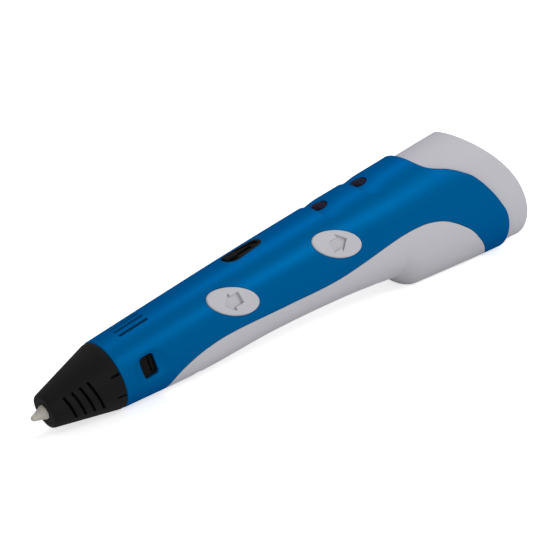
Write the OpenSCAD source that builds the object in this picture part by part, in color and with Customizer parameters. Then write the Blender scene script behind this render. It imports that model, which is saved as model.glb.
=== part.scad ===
// Three d pen: a hand-held filament extruder, lying on the foot of its belly.
// It is drawn in the pen's own frame: x runs from the nozzle tip to the tail along the filament,
// z points at the ridge and the buttons face -y. laid_down() then turns it onto the bench.

/* [Nozzle and cone] */
// Free length of the ceramic nozzle in front of the cone
nozzle_out = 4.5; // [3.5:0.1:7]
// Radius of the nozzle's rounded end
nozzle_tip_r = 0.9; // [0.6:0.05:1.2]
// Radius of the nozzle at its root
nozzle_root_r = 2.5; // [2.1:0.1:2.8]
// Radius of the nozzle's outlet
nozzle_hole_r = 0.3; // [0.2:0.05:0.4]
// Length of the cone from its front rim to the cover
cone_len = 21.6; // [18:0.1:26]
// Outer radius of the cone's front rim
cone_front_r = 5.3; // [4.8:0.1:6]
// Outer radius of the cone where it meets the cover
cone_rear_r = 10.8; // [10:0.1:12]
// Wall of the cone
cone_wall = 1.4; // [1:0.1:1.6]
// Length of the collar that plugs the cone into the cover
collar_len = 5; // [4.2:0.1:5.4]
// Vent slots on each side of the cone
cone_slots = 4; // [1:1:4]
// Width of a cone vent slot
cone_slot_w = 1; // [0.6:0.1:1.4]
// Distance between neighbouring cone vent slots
cone_slot_pitch = 2.65; // [2.2:0.05:2.9]
// Distance from the front rim to the first cone vent slot
cone_slot_start = 5.2; // [4.5:0.1:6]
// Angle that each cone vent slot covers
cone_slot_span = 68; // [40:1:90]
// Half the angle between the two slits beside a snap tab
tab_half_angle = 19; // [12:1:26]
// Length of the slits beside a snap tab
tab_slit_len = 3; // [2:0.1:4]
// Width of the slits beside a snap tab
tab_slit_w = 0.7; // [0.4:0.1:1]

/* [Body sections] */
// Grip section: place as a share of the pen's length
grip_share = 0.29348; // [0.272:0.0005:0.315]
// Grip section: height above the filament
grip_ridge = 11.65; // [11.3:0.05:13]
// Grip section: depth below the filament
grip_depth = 14; // [13.2:0.1:14.8]
// Grip section: half width
grip_half = 12; // [11.5:0.1:13]
// Palm section: place as a share of the pen's length
palm_share = 0.44022; // [0.413:0.0005:0.467]
// Palm section: height above the filament
palm_ridge = 12.25; // [11.8:0.05:13.5]
// Palm section: depth below the filament
palm_depth = 15.3; // [14.8:0.1:17]
// Palm section: half width
palm_half = 13; // [12.5:0.1:14]
// Waist section: place as a share of the pen's length
waist_share = 0.59239; // [0.565:0.0005:0.620]
// Waist section: height above the filament
waist_ridge = 12.55; // [12.2:0.05:13.5]
// Waist section: depth below the filament
waist_depth = 18.4; // [17.6:0.1:20]
// Waist section: half width
waist_half = 14.2; // [13.8:0.1:15]
// Step section, where the belly drops to the foot: place as a share of the pen's length
step_share = 0.70920; // [0.698:0.0005:0.720]
// Step section: height above the filament
step_ridge = 12.6; // [12.3:0.1:13.5]
// Step section: depth below the filament
step_depth = 22.2; // [21.4:0.1:24]
// Step section: half width
step_half = 15.3; // [14.9:0.1:16]
// Length of the rounded drop from the belly to the foot
step_run = 7; // [6:0.5:9]
// Tail section: place as a share of the pen's length, the body keeps this section behind it
tail_share = 0.86957; // [0.837:0.0005:0.902]
// Tail section: height above the filament
tail_ridge = 13.1; // [12.8:0.1:14]
// Tail section: half width
tail_half = 16.4; // [15.8:0.1:17.5]
// Overall length along the filament
pen_length = 184; // [181:0.5:188]
// Angle between the filament and the bench when the pen lies on its foot
rest_pitch = 8.5; // [8:0.05:9.2]
// How much of the round underside the flat foot cuts away
foot_sink = 1; // [0.6:0.1:1.6]
// Exponent of the oval sections, 2 is an ellipse
oval_power = 2.1; // [2:0.05:2.4]

/* [Shells] */
// Wall of the cover
cover_wall = 2; // [1.7:0.1:2.4]
// Wall of the cover where it laps over the tail
lap_wall = 1.15; // [1:0.05:1.3]
// How far the tail lies inside the cover's outer face
tail_inset = 1.35; // [1.35:0.05:1.7]
// Wall of the tail
tail_wall = 1.6; // [1.2:0.1:2]
// Wall of the belly
belly_wall = 2.4; // [2.3:0.1:2.8]
// Thickness of the belly's lip that hides under the cover
lip_wall = 1.2; // [0.8:0.1:1.4]
// How far the belly's lip reaches under the cover
lip_reach = 2.5; // [1.5:0.1:3]
// Gap along the parting line of cover and belly
parting_gap = 0.15; // [0.1:0.05:0.3]
// Front end of the belly, as a share of the pen's length
belly_front_share = 0.20652; // [0.196:0.0005:0.223]
// Rear end of the belly, as a share of the pen's length
belly_rear_share = 0.89674; // [0.886:0.0005:0.908]
// Height of the belly's edge at the grip
edge_grip = -3.3; // [-4.5:0.1:-2.5]
// Height of the belly's edge at the waist
edge_waist = -6.6; // [-8:0.1:-5.5]
// Height of the belly's edge above the step
edge_step = -4.4; // [-5.5:0.1:-3.5]
// Distance of the shell screws from the middle
screw_y = 5; // [4.6:0.1:5.6]
// Rear end of the cover on the ridge, as a share of the pen's length
cover_ridge_share = 0.80217; // [0.795:0.0005:0.810]
// Rear end of the cover at its furthest point, low on its sides, as a share of the pen's length
cover_heel_share = 0.94837; // [0.936:0.0005:0.955]
// Slope of the tail's rim against a square cut
rim_slope = 0.385; // [0.33:0.005:0.42]
// How far the middle of the tail's rim bows out
rim_bow = 5; // [4:0.1:5.6]
// Depth of the tail plate behind the ends of the rim
plate_recess = 2; // [1:0.1:3]
// Thickness of the tail plate
plate_t = 2; // [1.4:0.1:2.6]

/* [Controls] */
// Length of an oval button
button_len = 16.9; // [15:0.1:18]
// Width of an oval button
button_wid = 9.1; // [8:0.1:10]
// Angle between a button's length and the filament
button_slant = 30; // [20:1:40]
// How far the buttons face up from the side
button_tilt = 23.4; // [18:0.2:28]
// Place of the extrude button along the pen, as a share of the pen's length
extrude_share = 0.36793; // [0.359:0.0005:0.375]
// Place of the retract button along the pen, as a share of the pen's length
retract_share = 0.58424; // [0.576:0.0005:0.592]
// Offset of the retract button down the side
retract_drop = 1.5; // [0.5:0.1:2]
// Gap around a button
button_gap = 0.25; // [0.2:0.05:0.35]
// How far a button stands out of the cover
button_proud = 0.35; // [0.2:0.05:0.6]
// Travel of a button
button_travel = 0.5; // [0.3:0.05:0.6]
// Place of the wide end of the speed slide, as a share of the pen's length
slide_share = 0.42717; // [0.421:0.0005:0.435]
// Distance between the centres of the speed slide's two ends
slide_len = 8.2; // [7.6:0.1:9]
// Radius of the speed slide's wide end
slide_wide_r = 3.4; // [3:0.1:3.8]
// Radius of the speed slide's narrow end
slide_narrow_r = 1.9; // [1.8:0.1:2.4]
// Travel of the speed slider
slide_travel = 7; // [5:0.1:7.2]
// Distance from the cover's front end to the mode switch
mode_back = 8.9; // [8.8:0.1:9.4]
// How far the mode switch faces up from the side
mode_tilt = 5; // [3:0.5:7]
// Length of the mode switch's window along the pen
mode_window_l = 4.6; // [4.4:0.1:5]
// Height of the mode switch's window
mode_window_h = 5.5; // [5:0.1:5.8]
// Travel of the mode switch's knob
mode_travel = 1.5; // [1.2:0.1:1.6]
// Depth of the dish around the mode switch
mode_dish = 0.9; // [0.6:0.1:1.2]
// Place of the front indicator light, as a share of the pen's length
led_front_share = 0.61850; // [0.614:0.0005:0.625]
// Place of the rear indicator light, as a share of the pen's length
led_rear_share = 0.70870; // [0.704:0.0005:0.715]
// Radius of an indicator light
led_r = 2.6; // [2.4:0.1:2.8]
// How far an indicator light's lens lies under the ridge
led_sink = 0.2; // [0.1:0.1:0.5]
// Distance from an indicator light to the front wall of its well
well_front = 3.5; // [3.3:0.1:4]
// Distance from an indicator light to the place where its well runs out
well_run = 5.3; // [4.6:0.1:5.8]
// Depth of the well at its front wall
well_depth = 1.3; // [1:0.1:1.4]
// Half width of the well's front wall
well_half = 9.5; // [8.5:0.1:10]
// Radius of the well's front corners
well_corner = 4; // [3:0.1:5]
// Radius of the well's floor across the pen
well_floor_r = 17.3; // [16.5:0.1:18.5]
// Vent slots across the ridge
vent_count = 4; // [2:1:4]
// Distance from the cover's front end to the ridge vent slots
vent_back = 5.9; // [5:0.1:6.4]
// Length of the ridge vent slots
vent_len = 10.7; // [9:0.1:11]
// Width of the ridge vent slots
vent_w = 1.5; // [1:0.1:1.7]
// Angle between neighbouring ridge vent slots
vent_step = 12.8; // [11:0.2:14]

/* [Hot end and feed] */
// Radius of the filament
filament_r = 0.875; // [0.8:0.005:0.9]
// Outer radius of the guide tube
tube_r = 2; // [1.7:0.1:2.2]
// Bore radius of the guide tube and the feed guides
tube_bore_r = 1.1; // [1:0.05:1.2]
// Outer radius of the hot end barrel
barrel_r = 3; // [2.7:0.1:3.1]
// Wall of the heater sleeve
heater_wall = 1.1; // [0.8:0.1:1.2]
// Length of the heater sleeve
heater_len = 12; // [9:0.5:12.5]
// Place of the drive wheel along the pen, as a share of the pen's length
feed_share = 0.79891; // [0.793:0.0005:0.804]
// Radius of the drive wheel
wheel_r = 3.2; // [3:0.1:3.4]
// Teeth on the drive wheel
wheel_teeth = 24; // [18:1:30]
// Radius of the idler bearing
idler_r = 3.5; // [3.2:0.1:3.7]
// Radius of the motor and its gearbox
motor_r = 5; // [4.4:0.1:5]
// Length of the motor
motor_len = 10.5; // [9:0.5:11]
// Length of the gearbox
gearbox_len = 8; // [6:0.5:8.5]
// Radius of the output shaft
shaft_r = 1; // [0.8:0.05:1.2]
// Radius of the fan's frame
fan_r = 5.7; // [5.2:0.1:5.8]
// Height of the fan's frame
fan_h = 3.8; // [3.2:0.1:4]
// Blades on the fan's rotor
fan_blades = 7; // [5:1:9]

/* [Sockets] */
// Bore radius of the filament inlet
inlet_bore_r = 1.5; // [1.4:0.05:1.7]
// Bore radius of the power socket
jack_bore_r = 2.8; // [2.75:0.05:3]
// Depth of the power socket
jack_depth = 9; // [8:0.5:10]
// Radius of the power socket's centre pin
jack_pin_r = 1.05; // [1:0.05:1.25]
// Height of the power socket
jack_z = -17; // [-18:0.5:-15]

/* [Hidden] */

$fn = 48;
sides = 36;
big = pen_length;
fit = 0.05;
seat = 0.1;
clear = 0.3;
merge = 0.3;

// Places along the pen move with its length
grip_x = grip_share * pen_length;
palm_x = palm_share * pen_length;
waist_x = waist_share * pen_length;
step_x = step_share * pen_length;
tail_x = tail_share * pen_length;
belly_front_x = belly_front_share * pen_length;
belly_rear_x = belly_rear_share * pen_length;
cover_ridge_x = cover_ridge_share * pen_length;
cover_heel_x = cover_heel_share * pen_length;
extrude_x = extrude_share * pen_length;
retract_x = retract_share * pen_length;
slide_x = slide_share * pen_length;
led_front_x = led_front_share * pen_length;
led_rear_x = led_rear_share * pen_length;
feed_x = feed_share * pen_length;

// Places along the pen that follow from the sizes above
cone_x = nozzle_out;
cover_x = nozzle_out + cone_len;
step_end_x = step_x + step_run;
lap_x = cover_ridge_x - 5;
mode_x = cover_x + mode_back;
vent_x = cover_x + vent_back;
end_x = pen_length + 8;

// The sections that shape the body, each as a list of [x, size]
ridge_line = [
    [cover_x, cone_rear_r], [grip_x, grip_ridge], [palm_x, palm_ridge], [waist_x, waist_ridge],
    [step_x, step_ridge], [tail_x, tail_ridge]
];
half_line = [
    [cover_x, cone_rear_r], [grip_x, grip_half], [palm_x, palm_half], [waist_x, waist_half],
    [step_x, step_half], [tail_x, tail_half]
];
belly_line = [
    [cover_x, cone_rear_r], [grip_x, grip_depth], [palm_x, palm_depth], [waist_x, waist_depth],
    [step_x, step_depth]
];

// Smooth curve through a list of [x, size]
function span_of(line, x, i = 0) = i >= len(line) - 2 || x < line[i + 1][0] ? i : span_of(line, x, i + 1);
function rise(line, a, b) = (line[b][1] - line[a][1]) / (line[b][0] - line[a][0]);
function slope_at(line, i) = rise(line, max(i - 1, 0), min(i + 1, len(line) - 1));
function blend(y0, m0, y1, m1, u) =
    (2 * u ^ 3 - 3 * u ^ 2 + 1) * y0 + (u ^ 3 - 2 * u ^ 2 + u) * m0
    + (3 * u ^ 2 - 2 * u ^ 3) * y1 + (u ^ 3 - u ^ 2) * m1;
function along(line, x) =
    let(i = span_of(line, x), run = line[i + 1][0] - line[i][0])
    blend(
        line[i][1], slope_at(line, i) * run, line[i + 1][1], slope_at(line, i + 1) * run,
        (min(x, line[len(line) - 1][0]) - line[i][0]) / run
    );

// Height, depth and half width of the body at x
rings_front = 10;
rings_step = 4;
ring_x = concat(
    [for (i = [0:rings_front - 1]) cover_x + i * (step_x - cover_x) / rings_front],
    [for (i = [0:rings_step]) step_x + i * step_run / rings_step],
    [(step_end_x + tail_x) / 2, tail_x]
);
bench_rise = tan(rest_pitch);
bench_base = max([for (x = ring_x) if (x < palm_x) along(belly_line, x) - bench_rise * x]);
function bench_depth(x) = bench_base + bench_rise * x;
function ridge(x) = along(ridge_line, x);
function half(x) = along(half_line, x);
function depth(x) =
    x <= step_x ? along(belly_line, x)
    : let(foot = bench_depth(x) + foot_sink)
      x >= step_end_x ? foot : step_depth + (foot - step_depth) * sin(90 * (x - step_x) / step_run);

// One oval section, cut flat where it meets the bench
mid_line = [
    for (i = [0:len(ridge_line) - 1])
        let(x = ridge_line[i][0], low = i < len(belly_line) ? belly_line[i][1] : depth(x))
        [x, (ridge_line[i][1] - low) / 2]
];
function signed_power(v, p) = sign(v) * pow(abs(v), p);
function oval_mid(x) = along(mid_line, x);
function oval_up(x, inset) = ridge(x) - oval_mid(x) - inset;
function oval_down(x, inset) = depth(x) + oval_mid(x) - inset;
function section(x, inset) =
    let(w = half(x) - inset, up = oval_up(x, inset), down = oval_down(x, inset))
    let(low = inset / cos(rest_pitch) - bench_depth(x))
    [
        for (i = [0:sides - 1])
            let(a = 360 * i / sides, h = sin(a) > 0 ? up : down)
            [
                x, w * signed_power(cos(a), 2 / oval_power),
                max(oval_mid(x) + h * signed_power(sin(a), 2 / oval_power), low)
            ]
    ];

// Solid of the body, moved in from its outer face by inset
module loft(inset, x_from, x_to) {
    xs = concat([x_from], [for (x = ring_x) if (x > x_from + 0.2 && x < x_to - 0.2) x], [x_to]);
    last = len(xs) - 1;
    polyhedron(
        points = [for (x = xs) each section(x, inset)],
        faces = concat(
            [[for (i = [0:sides - 1]) i]],
            [
                for (k = [0:last - 1], i = [0:sides - 1])
                    let(a = k * sides + i, b = k * sides + (i + 1) % sides)
                    each [[a, a + sides, b + sides], [a, b + sides, b]]
            ],
            [[for (i = [sides - 1:-1:0]) last * sides + i]]
        ),
        convexity = 6
    );
}

// Shell of the body between two insets
module shell(outer, inner, x_from, x_to) {
    difference() {
        loft(outer, x_from, x_to);
        loft(inner, x_from - 1, x_to + 1);
    }
}

// Heights and reaches on the body's faces, for what sits in or under them
function skin(x, y, z, inset) =
    let(rise = z - oval_mid(x), h = rise > 0 ? oval_up(x, inset) : oval_down(x, inset))
    pow(abs(y) / (half(x) - inset), oval_power) + pow(abs(rise) / h, oval_power) - 1;
function reach(x, tilt, up = 0, inset = 0, low = 0, high = 30, n = 24) =
    n == 0 ? low
    : let(m = (low + high) / 2)
      skin(x, up * sin(tilt) - m * cos(tilt), m * sin(tilt) + up * cos(tilt), inset) > 0
      ? reach(x, tilt, up, inset, low, m, n - 1)
      : reach(x, tilt, up, inset, m, high, n - 1);
function share_at(x, y, inset) = pow(1 - pow(abs(y) / (half(x) - inset), oval_power), 1 / oval_power);
function top_at(x, y, inset) = oval_mid(x) + oval_up(x, inset) * share_at(x, y, inset);
function floor_at(x, y, inset) = oval_mid(x) - oval_down(x, inset) * share_at(x, y, inset);

// Turns z to a direction on the button side, tilt degrees up from level
module facing(x, tilt, up = 0) {
    translate([x, 0, 0]) rotate([90 - tilt, 0, 0]) translate([0, up, 0]) children();
}

// Round piece along the filament, its profile is drawn as [x, radius]
module turned(points) {
    rotate([90, 0, 90]) rotate_extrude() polygon([for (p = points) [p[1], p[0]]]);
}

// Cylinder along the filament
module rod(r, x_from, x_to) {
    translate([x_from, 0, 0]) rotate([0, 90, 0]) cylinder(r = r, h = x_to - x_from);
}

// Box from one corner to the other
module block(low, high) {
    translate(low) cube(high - low);
}

// Side outlines, drawn as [x, z] and pushed through the whole width
function curve(p, n) = [
    for (i = [0:len(p) - 2], k = [0:n - 1])
        let(
            before = p[max(i - 1, 0)], after = p[min(i + 2, len(p) - 1)], u = k / n,
            m0 = (p[i + 1] - before) / 2, m1 = (after - p[i]) / 2
        )
        blend(p[i], m0, p[i + 1], m1, u)
];
module through(points) {
    rotate([90, 0, 0]) linear_extrude(height = 2 * big, center = true) polygon(points);
}
deep = 50;
edge_bend = 7;
belly_edge = [
    [belly_front_x, -depth(belly_front_x) - 1], [belly_front_x + edge_bend, edge_grip - 3],
    [grip_x + 6, edge_grip], [palm_x + 3, (edge_grip + edge_waist) / 2 - 0.2], [waist_x - 4, edge_waist],
    [step_x + 1, edge_step], [step_x + 15, edge_step - 2.3], [belly_rear_x - 9.3, edge_step - 9.8],
    [belly_rear_x - 4, edge_step - 17], [belly_rear_x - 0.2, edge_step - 23.5], [belly_rear_x + 12, -deep]
];
belly_outline = concat(curve(belly_edge, 4), [[belly_rear_x + 12, -deep], [belly_front_x, -deep]]);
heel = cover_heel_x - cover_ridge_x;
heel_tall = tail_ridge + depth(tail_x);
cover_edge = [
    [cover_ridge_x - 1, tail_ridge + 5], [cover_ridge_x, tail_ridge],
    [cover_ridge_x + heel * 0.0745, tail_ridge - heel_tall * 0.073],
    [cover_ridge_x + heel * 0.1825, tail_ridge - heel_tall * 0.116],
    [cover_ridge_x + heel * 0.33, tail_ridge - heel_tall * 0.157],
    [cover_ridge_x + heel * 0.487, tail_ridge - heel_tall * 0.222],
    [cover_ridge_x + heel * 0.643, tail_ridge - heel_tall * 0.316],
    [cover_ridge_x + heel * 0.87, tail_ridge - heel_tall * 0.56],
    [cover_heel_x, tail_ridge - heel_tall * 0.81],
    [cover_heel_x, -deep]
];
cover_outline = concat(curve(cover_edge, 4), [[cover_heel_x, -deep], [0, -deep], [0, tail_ridge + 5]]);
rim_mid = oval_mid(tail_x);
rim_tall = oval_up(tail_x, tail_inset);
rim_x = pen_length - rim_slope * rim_tall;
rim_steps = 14;
function rim_at(z) = rim_x - rim_slope * (z - rim_mid) + rim_bow * (1 - ((z - rim_mid) / rim_tall) ^ 2);
rim_outline = concat(
    [for (i = [0:rim_steps]) let(z = rim_mid + rim_tall * 1.2 * (1 - 2 * i / rim_steps)) [rim_at(z), z]],
    [[lap_x, -deep], [lap_x, deep]]
);

// The pen turned onto the bench, its foot on z = 0 and its middle over the origin
reach_front = nozzle_tip_r * (cos(rest_pitch) - 1);
reach_rear = max([
    for (i = [0:60])
        let(z = rim_mid + rim_tall * (1 - i / 30)) rim_at(z) * cos(rest_pitch) - z * sin(rest_pitch)
]);
module laid_down() {
    translate([-(reach_front + reach_rear) / 2, 0, bench_base * cos(rest_pitch)])
        rotate([0, -rest_pitch, 0]) children();
}

// Nose: cone, nozzle and hot end
collar_r = cone_rear_r - cover_wall - seat;
collar_wall = 1.4;
collar_end_x = cover_x + collar_len;
nozzle_gap = 0.5;
nozzle_shoulder_x = cone_x + 1.6;
shank_r = 1.6;
shank_len = 4.5;
barrel_end_x = cover_x + collar_len;
heater_back = 5;
heater_x = nozzle_shoulder_x + heater_back;
heater_end_x = heater_x + heater_len;
mount_x = cover_x + 1;
mount_t = 3;

function cone_r(x) = cone_front_r + (cone_rear_r - cone_front_r) * (x - cone_x) / cone_len;

module nose_cone() {
    lip = 1.2;
    lip_up = 0.25;
    rim_round = 0.3;
    color("#1c1c1e") difference() {
        turned([
            [cone_x, nozzle_root_r + nozzle_gap], [cone_x, cone_front_r - rim_round], [cone_x + rim_round, cone_front_r],
            [cover_x - lip, cone_r(cover_x - lip) + lip_up], [cover_x - seat, cone_rear_r],
            [cover_x - seat, collar_r], [collar_end_x, collar_r], [collar_end_x, collar_r - collar_wall],
            [cover_x, collar_r - collar_wall], [cone_x + cone_wall, cone_r(cone_x) - cone_wall],
            [cone_x + cone_wall, nozzle_root_r + nozzle_gap]
        ]);
        for (side = [0, 180], i = [0:cone_slots - 1])
            rotate([side - cone_slot_span / 2, 0, 0]) cone_slot(cone_slot_start + i * cone_slot_pitch);
        for (side = [0, 180], turn = [-tab_half_angle, tab_half_angle]) rotate([side + turn, 0, 0]) tab_slit();
    }
}

// Ring sector that opens one vent slot of the cone
module cone_slot(start) {
    x = cone_x + start;
    rotate([90, 0, 90]) rotate_extrude(angle = cone_slot_span) polygon([
        [cone_r(x) - cone_wall - 1, x], [cone_r(x) + 1, x],
        [cone_r(x) + 1, x + cone_slot_w], [cone_r(x) - cone_wall - 1, x + cone_slot_w]
    ]);
}

module tab_slit() {
    block(
        [cover_x - tab_slit_len, -cone_rear_r - 1, -tab_slit_w / 2],
        [cover_x, -collar_r - 0.4, tab_slit_w / 2]
    );
}

module ceramic_nozzle() {
    arc = 5;
    color("#c9c5b8") difference() {
        turned(concat(
            [[0, 0]],
            [for (i = [1:arc]) let(a = 75 * i / arc) [nozzle_tip_r * (1 - cos(a)), nozzle_tip_r * sin(a)]],
            [
                [cone_x - 0.4, nozzle_root_r], [nozzle_shoulder_x, nozzle_root_r], [nozzle_shoulder_x, shank_r],
                [nozzle_shoulder_x + shank_len, shank_r], [nozzle_shoulder_x + shank_len, 0]
            ]
        ));
        rod(nozzle_hole_r, -1, big);
        rod(tube_bore_r - 0.1, nozzle_out, big);
    }
}

module hot_end_barrel() {
    color("#b08d57") difference() {
        rod(barrel_r, nozzle_shoulder_x, barrel_end_x);
        rod(tube_bore_r, 0, big);
        rod(shank_r + fit, 0, nozzle_shoulder_x + shank_len + seat);
    }
}

module heater_sleeve() {
    color("#d8d2c4") difference() {
        rod(barrel_r + fit + heater_wall, heater_x, heater_end_x);
        rod(barrel_r + fit, heater_x - 1, heater_end_x + 1);
    }
}

bead_r = 0.6;
module thermistor() {
    color("#3a3026") translate([0, 0, -barrel_r - bead_r - fit]) {
        rod(bead_r, heater_end_x + bead_r + seat, heater_end_x + 2.5);
        translate([heater_end_x + bead_r + seat, 0, 0]) sphere(r = bead_r, $fn = 24);
    }
}

module hot_end_mount() {
    color("#4a443c") difference() {
        rod(collar_r - collar_wall - fit, mount_x, mount_x + mount_t);
        rod(barrel_r + fit, 0, big);
        for (a = [90, 210, 330]) rotate([a, 0, 0]) translate([0, 0, barrel_r + 2]) rod(1, 0, big);
    }
}

tube_back = 7.5;
tube_end_x = feed_x - tube_back;
module guide_tube() {
    color("#eceae2") difference() {
        rod(tube_r, barrel_end_x, tube_end_x);
        rod(tube_bore_r, 0, big * 2);
    }
}

// Shells
screw_r = 0.95;
screw_head_r = 1.8;
screw_head_t = 1.3;
screw_boss_r = 2.1;
screw_joint_z = -7.5;
screw_len = 8;
screw_bite = 6;
screw_places = [for (x = [grip_x - 2, step_x - 8.5], y = [-screw_y, screw_y]) [x, y]];
function screw_seat_z(p) = floor_at(p[0], p[1], 0) + 2.6;

module oval(grow) {
    polygon([
        for (i = [0:35])
            let(a = 10 * i) [(button_len / 2 + grow) * cos(a), (button_wid / 2 + grow) * sin(a)]
    ]);
}

// Prism of a button's outline, standing on the button's place
module button_prism(x, up, grow) {
    facing(x, button_tilt, up) rotate([0, 0, -button_slant]) linear_extrude(height = 30) oval(grow);
}

module teardrop(grow) {
    hull() {
        translate([slide_x, 0]) circle(r = slide_wide_r + grow, $fn = 32);
        translate([slide_x + slide_len, 0]) circle(r = slide_narrow_r + grow, $fn = 32);
    }
}

module vent_slots() {
    for (i = [0:vent_count - 1])
        facing(0, 90 + (i - (vent_count - 1) / 2) * vent_step)
            hull() {
                translate([vent_x + vent_w / 2, 0, 0]) cylinder(r = vent_w / 2, h = 30, $fn = 16);
                translate([vent_x + vent_len - vent_w / 2, 0, 0]) cylinder(r = vent_w / 2, h = 30, $fn = 16);
            }
}

// Scooped well of a light: a steep front wall, and a floor that curves with the body and ramps up to the tail
well_ramp = atan(well_depth / (well_front + well_run));
module led_well(x) {
    difference() {
        hull() for (along = [well_corner - well_front, well_run + well_corner], k = [-1, 1])
            translate([x + along, k * (well_half - well_corner), 0]) cylinder(r = well_corner, h = 30, $fn = 32);
        translate([x - well_front, 0, ridge(x) - well_depth]) rotate([0, -well_ramp, 0])
            translate([0, 0, -well_floor_r]) rod(well_floor_r, -well_half, 3 * well_half, $fn = 96);
    }
    translate([x, 0, 0]) cylinder(r = led_r + seat, h = 30, $fn = 32);
}

mode_reach = reach(mode_x, mode_tilt);
dish_r = 14;
module mode_window() {
    corner = 1;
    facing(mode_x, mode_tilt) {
        translate([0, 0, mode_reach - mode_dish + dish_r]) sphere(r = dish_r, $fn = 40);
        hull() for (i = [-1, 1], k = [-1, 1])
            translate([i * (mode_window_l / 2 - corner), k * (mode_window_h / 2 - corner), 0])
                cylinder(r = corner, h = 20, $fn = 16);
    }
}

module cover() {
    color("#0b6aa4") difference() {
        intersection() {
            union() {
                shell(0, cover_wall, cover_x, end_x);
                intersection() {
                    loft(cover_wall - merge, cover_x, step_x);
                    for (p = screw_places)
                        translate([p[0], p[1], screw_joint_z + seat]) cylinder(r = screw_boss_r, h = 30, $fn = 20);
                }
            }
            through(cover_outline);
        }
        difference() {
            through(belly_outline);
            loft(cover_wall + parting_gap + seat, cover_x, end_x);
        }
        loft(lap_wall, lap_x - clear, end_x + 1);
        for (p = screw_places)
            translate([p[0], p[1], screw_joint_z - 1]) cylinder(r = screw_r + fit, h = screw_len, $fn = 20);
        button_prism(extrude_x, 0, button_gap);
        button_prism(retract_x, -retract_drop, button_gap);
        linear_extrude(height = 30) teardrop(0);
        vent_slots();
        led_well(led_front_x);
        led_well(led_rear_x);
        mode_window();
    }
}

rib_t = 1.4;
rib_half = 8;
rib_places = [for (i = [0:3]) grip_x + 7 + i * 17];
post_r = 2.2;
post_x = 9;
post_front_y = 7.5;
post_rear_y = 9;
feed_screw_places = [
    [feed_x - post_x, -post_front_y], [feed_x - post_x, post_front_y], [feed_x + post_x, post_rear_y]
];
post_places = concat(feed_screw_places, [[feed_x + post_x, -post_rear_y]]);
feed_low = -5;
feed_t = 2;
lip_inset = cover_wall + parting_gap;

module belly() {
    color("#dcdcde") difference() {
        union() {
            intersection() {
                shell(0, belly_wall, cover_x, end_x);
                rotate([90, 0, 0]) linear_extrude(height = 2 * big, center = true)
                    offset(delta = -parting_gap) polygon(belly_outline);
            }
            intersection() {
                shell(lip_inset, lip_inset + lip_wall, cover_x + 2, end_x);
                rotate([90, 0, 0]) linear_extrude(height = 2 * big, center = true) difference() {
                    offset(delta = lip_reach) polygon(belly_outline);
                    offset(delta = -1.8) polygon(belly_outline);
                }
            }
            intersection() {
                loft(belly_wall - merge, cover_x, end_x);
                union() {
                    for (x = rib_places) block([x - rib_t / 2, -rib_half, -deep], [x + rib_t / 2, rib_half, 0]);
                    for (p = post_places)
                        hull() {
                            translate([p[0], p[1], feed_low - 1]) cylinder(r = post_r, h = 1, $fn = 20);
                            translate([p[0], p[1], -30]) cylinder(r = post_r + 1, h = 1, $fn = 20);
                        }
                    for (p = screw_places)
                        hull() {
                            translate([p[0], p[1], screw_joint_z - 1]) cylinder(r = screw_boss_r, h = 1, $fn = 20);
                            translate([p[0], p[1], -30]) cylinder(r = screw_boss_r + 1.4, h = 1, $fn = 20);
                        }
                }
            }
        }
        rod(tube_r + seat, 0, big * 2, $fn = 32);
        board_slab(seat);
        intersection() {
            loft(lip_inset - fit, extrude_x - button_len, retract_x + button_len);
            union() {
                button_prism(extrude_x, 0, cap_flange + 2 * clear);
                button_prism(retract_x, -retract_drop, cap_flange + 2 * clear);
            }
        }
        for (p = screw_places) translate([p[0], p[1], 0]) {
            translate([0, 0, -deep]) cylinder(r = screw_r + 0.2, h = deep, $fn = 20);
            translate([0, 0, -deep]) cylinder(r = screw_head_r + 0.3, h = deep + screw_seat_z(p), $fn = 20);
        }
        for (p = feed_screw_places) translate([p[0], p[1], feed_low - 6]) cylinder(r = 0.85, h = 10, $fn = 16);
    }
}

ledge = 1;
module rim_slab(x_from, x_to) {
    tall = 40;
    through([
        [x_from - rim_slope * tall, rim_mid + tall], [x_to - rim_slope * tall, rim_mid + tall],
        [x_to + rim_slope * tall, rim_mid - tall], [x_from + rim_slope * tall, rim_mid - tall]
    ]);
}
plate_x = rim_x - plate_recess - plate_t;

module tail_shell() {
    color("#e4e4e6") difference() {
        intersection() {
            union() {
                shell(tail_inset, tail_inset + tail_wall, lap_x, end_x);
                intersection() {
                    shell(tail_inset + tail_wall - merge, tail_inset + tail_wall + ledge, lap_x, end_x);
                    rim_slab(plate_x - 1.5, plate_x - fit);
                }
            }
            through(rim_outline);
        }
        rotate([90, 0, 0]) linear_extrude(height = 2 * big, center = true)
            offset(delta = lip_reach + clear) polygon(belly_outline);
    }
}

inlet_boss_r = 5;
inlet_body_r = 3;
inlet_face_x = plate_x + plate_t - rim_slope * (0 - inlet_boss_r - rim_mid) + 0.4;
jack_body_r = 4.4;
jack_boss_r = 6;
jack_face_x = plate_x + plate_t - rim_slope * (jack_z - jack_boss_r - rim_mid) + 0.4;

module tail_plate() {
    color("#d6d6d8") difference() {
        union() {
            intersection() {
                loft(tail_inset + tail_wall + seat, lap_x, end_x);
                rim_slab(plate_x, plate_x + plate_t);
            }
            rod(inlet_boss_r, inlet_face_x - 8, inlet_face_x);
            translate([0, 0, jack_z]) rod(jack_boss_r, jack_face_x - 9, jack_face_x);
        }
        rod(inlet_body_r + fit, 0, big * 2);
        translate([0, 0, jack_z]) rod(jack_body_r + fit, 0, big * 2);
    }
}

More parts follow.
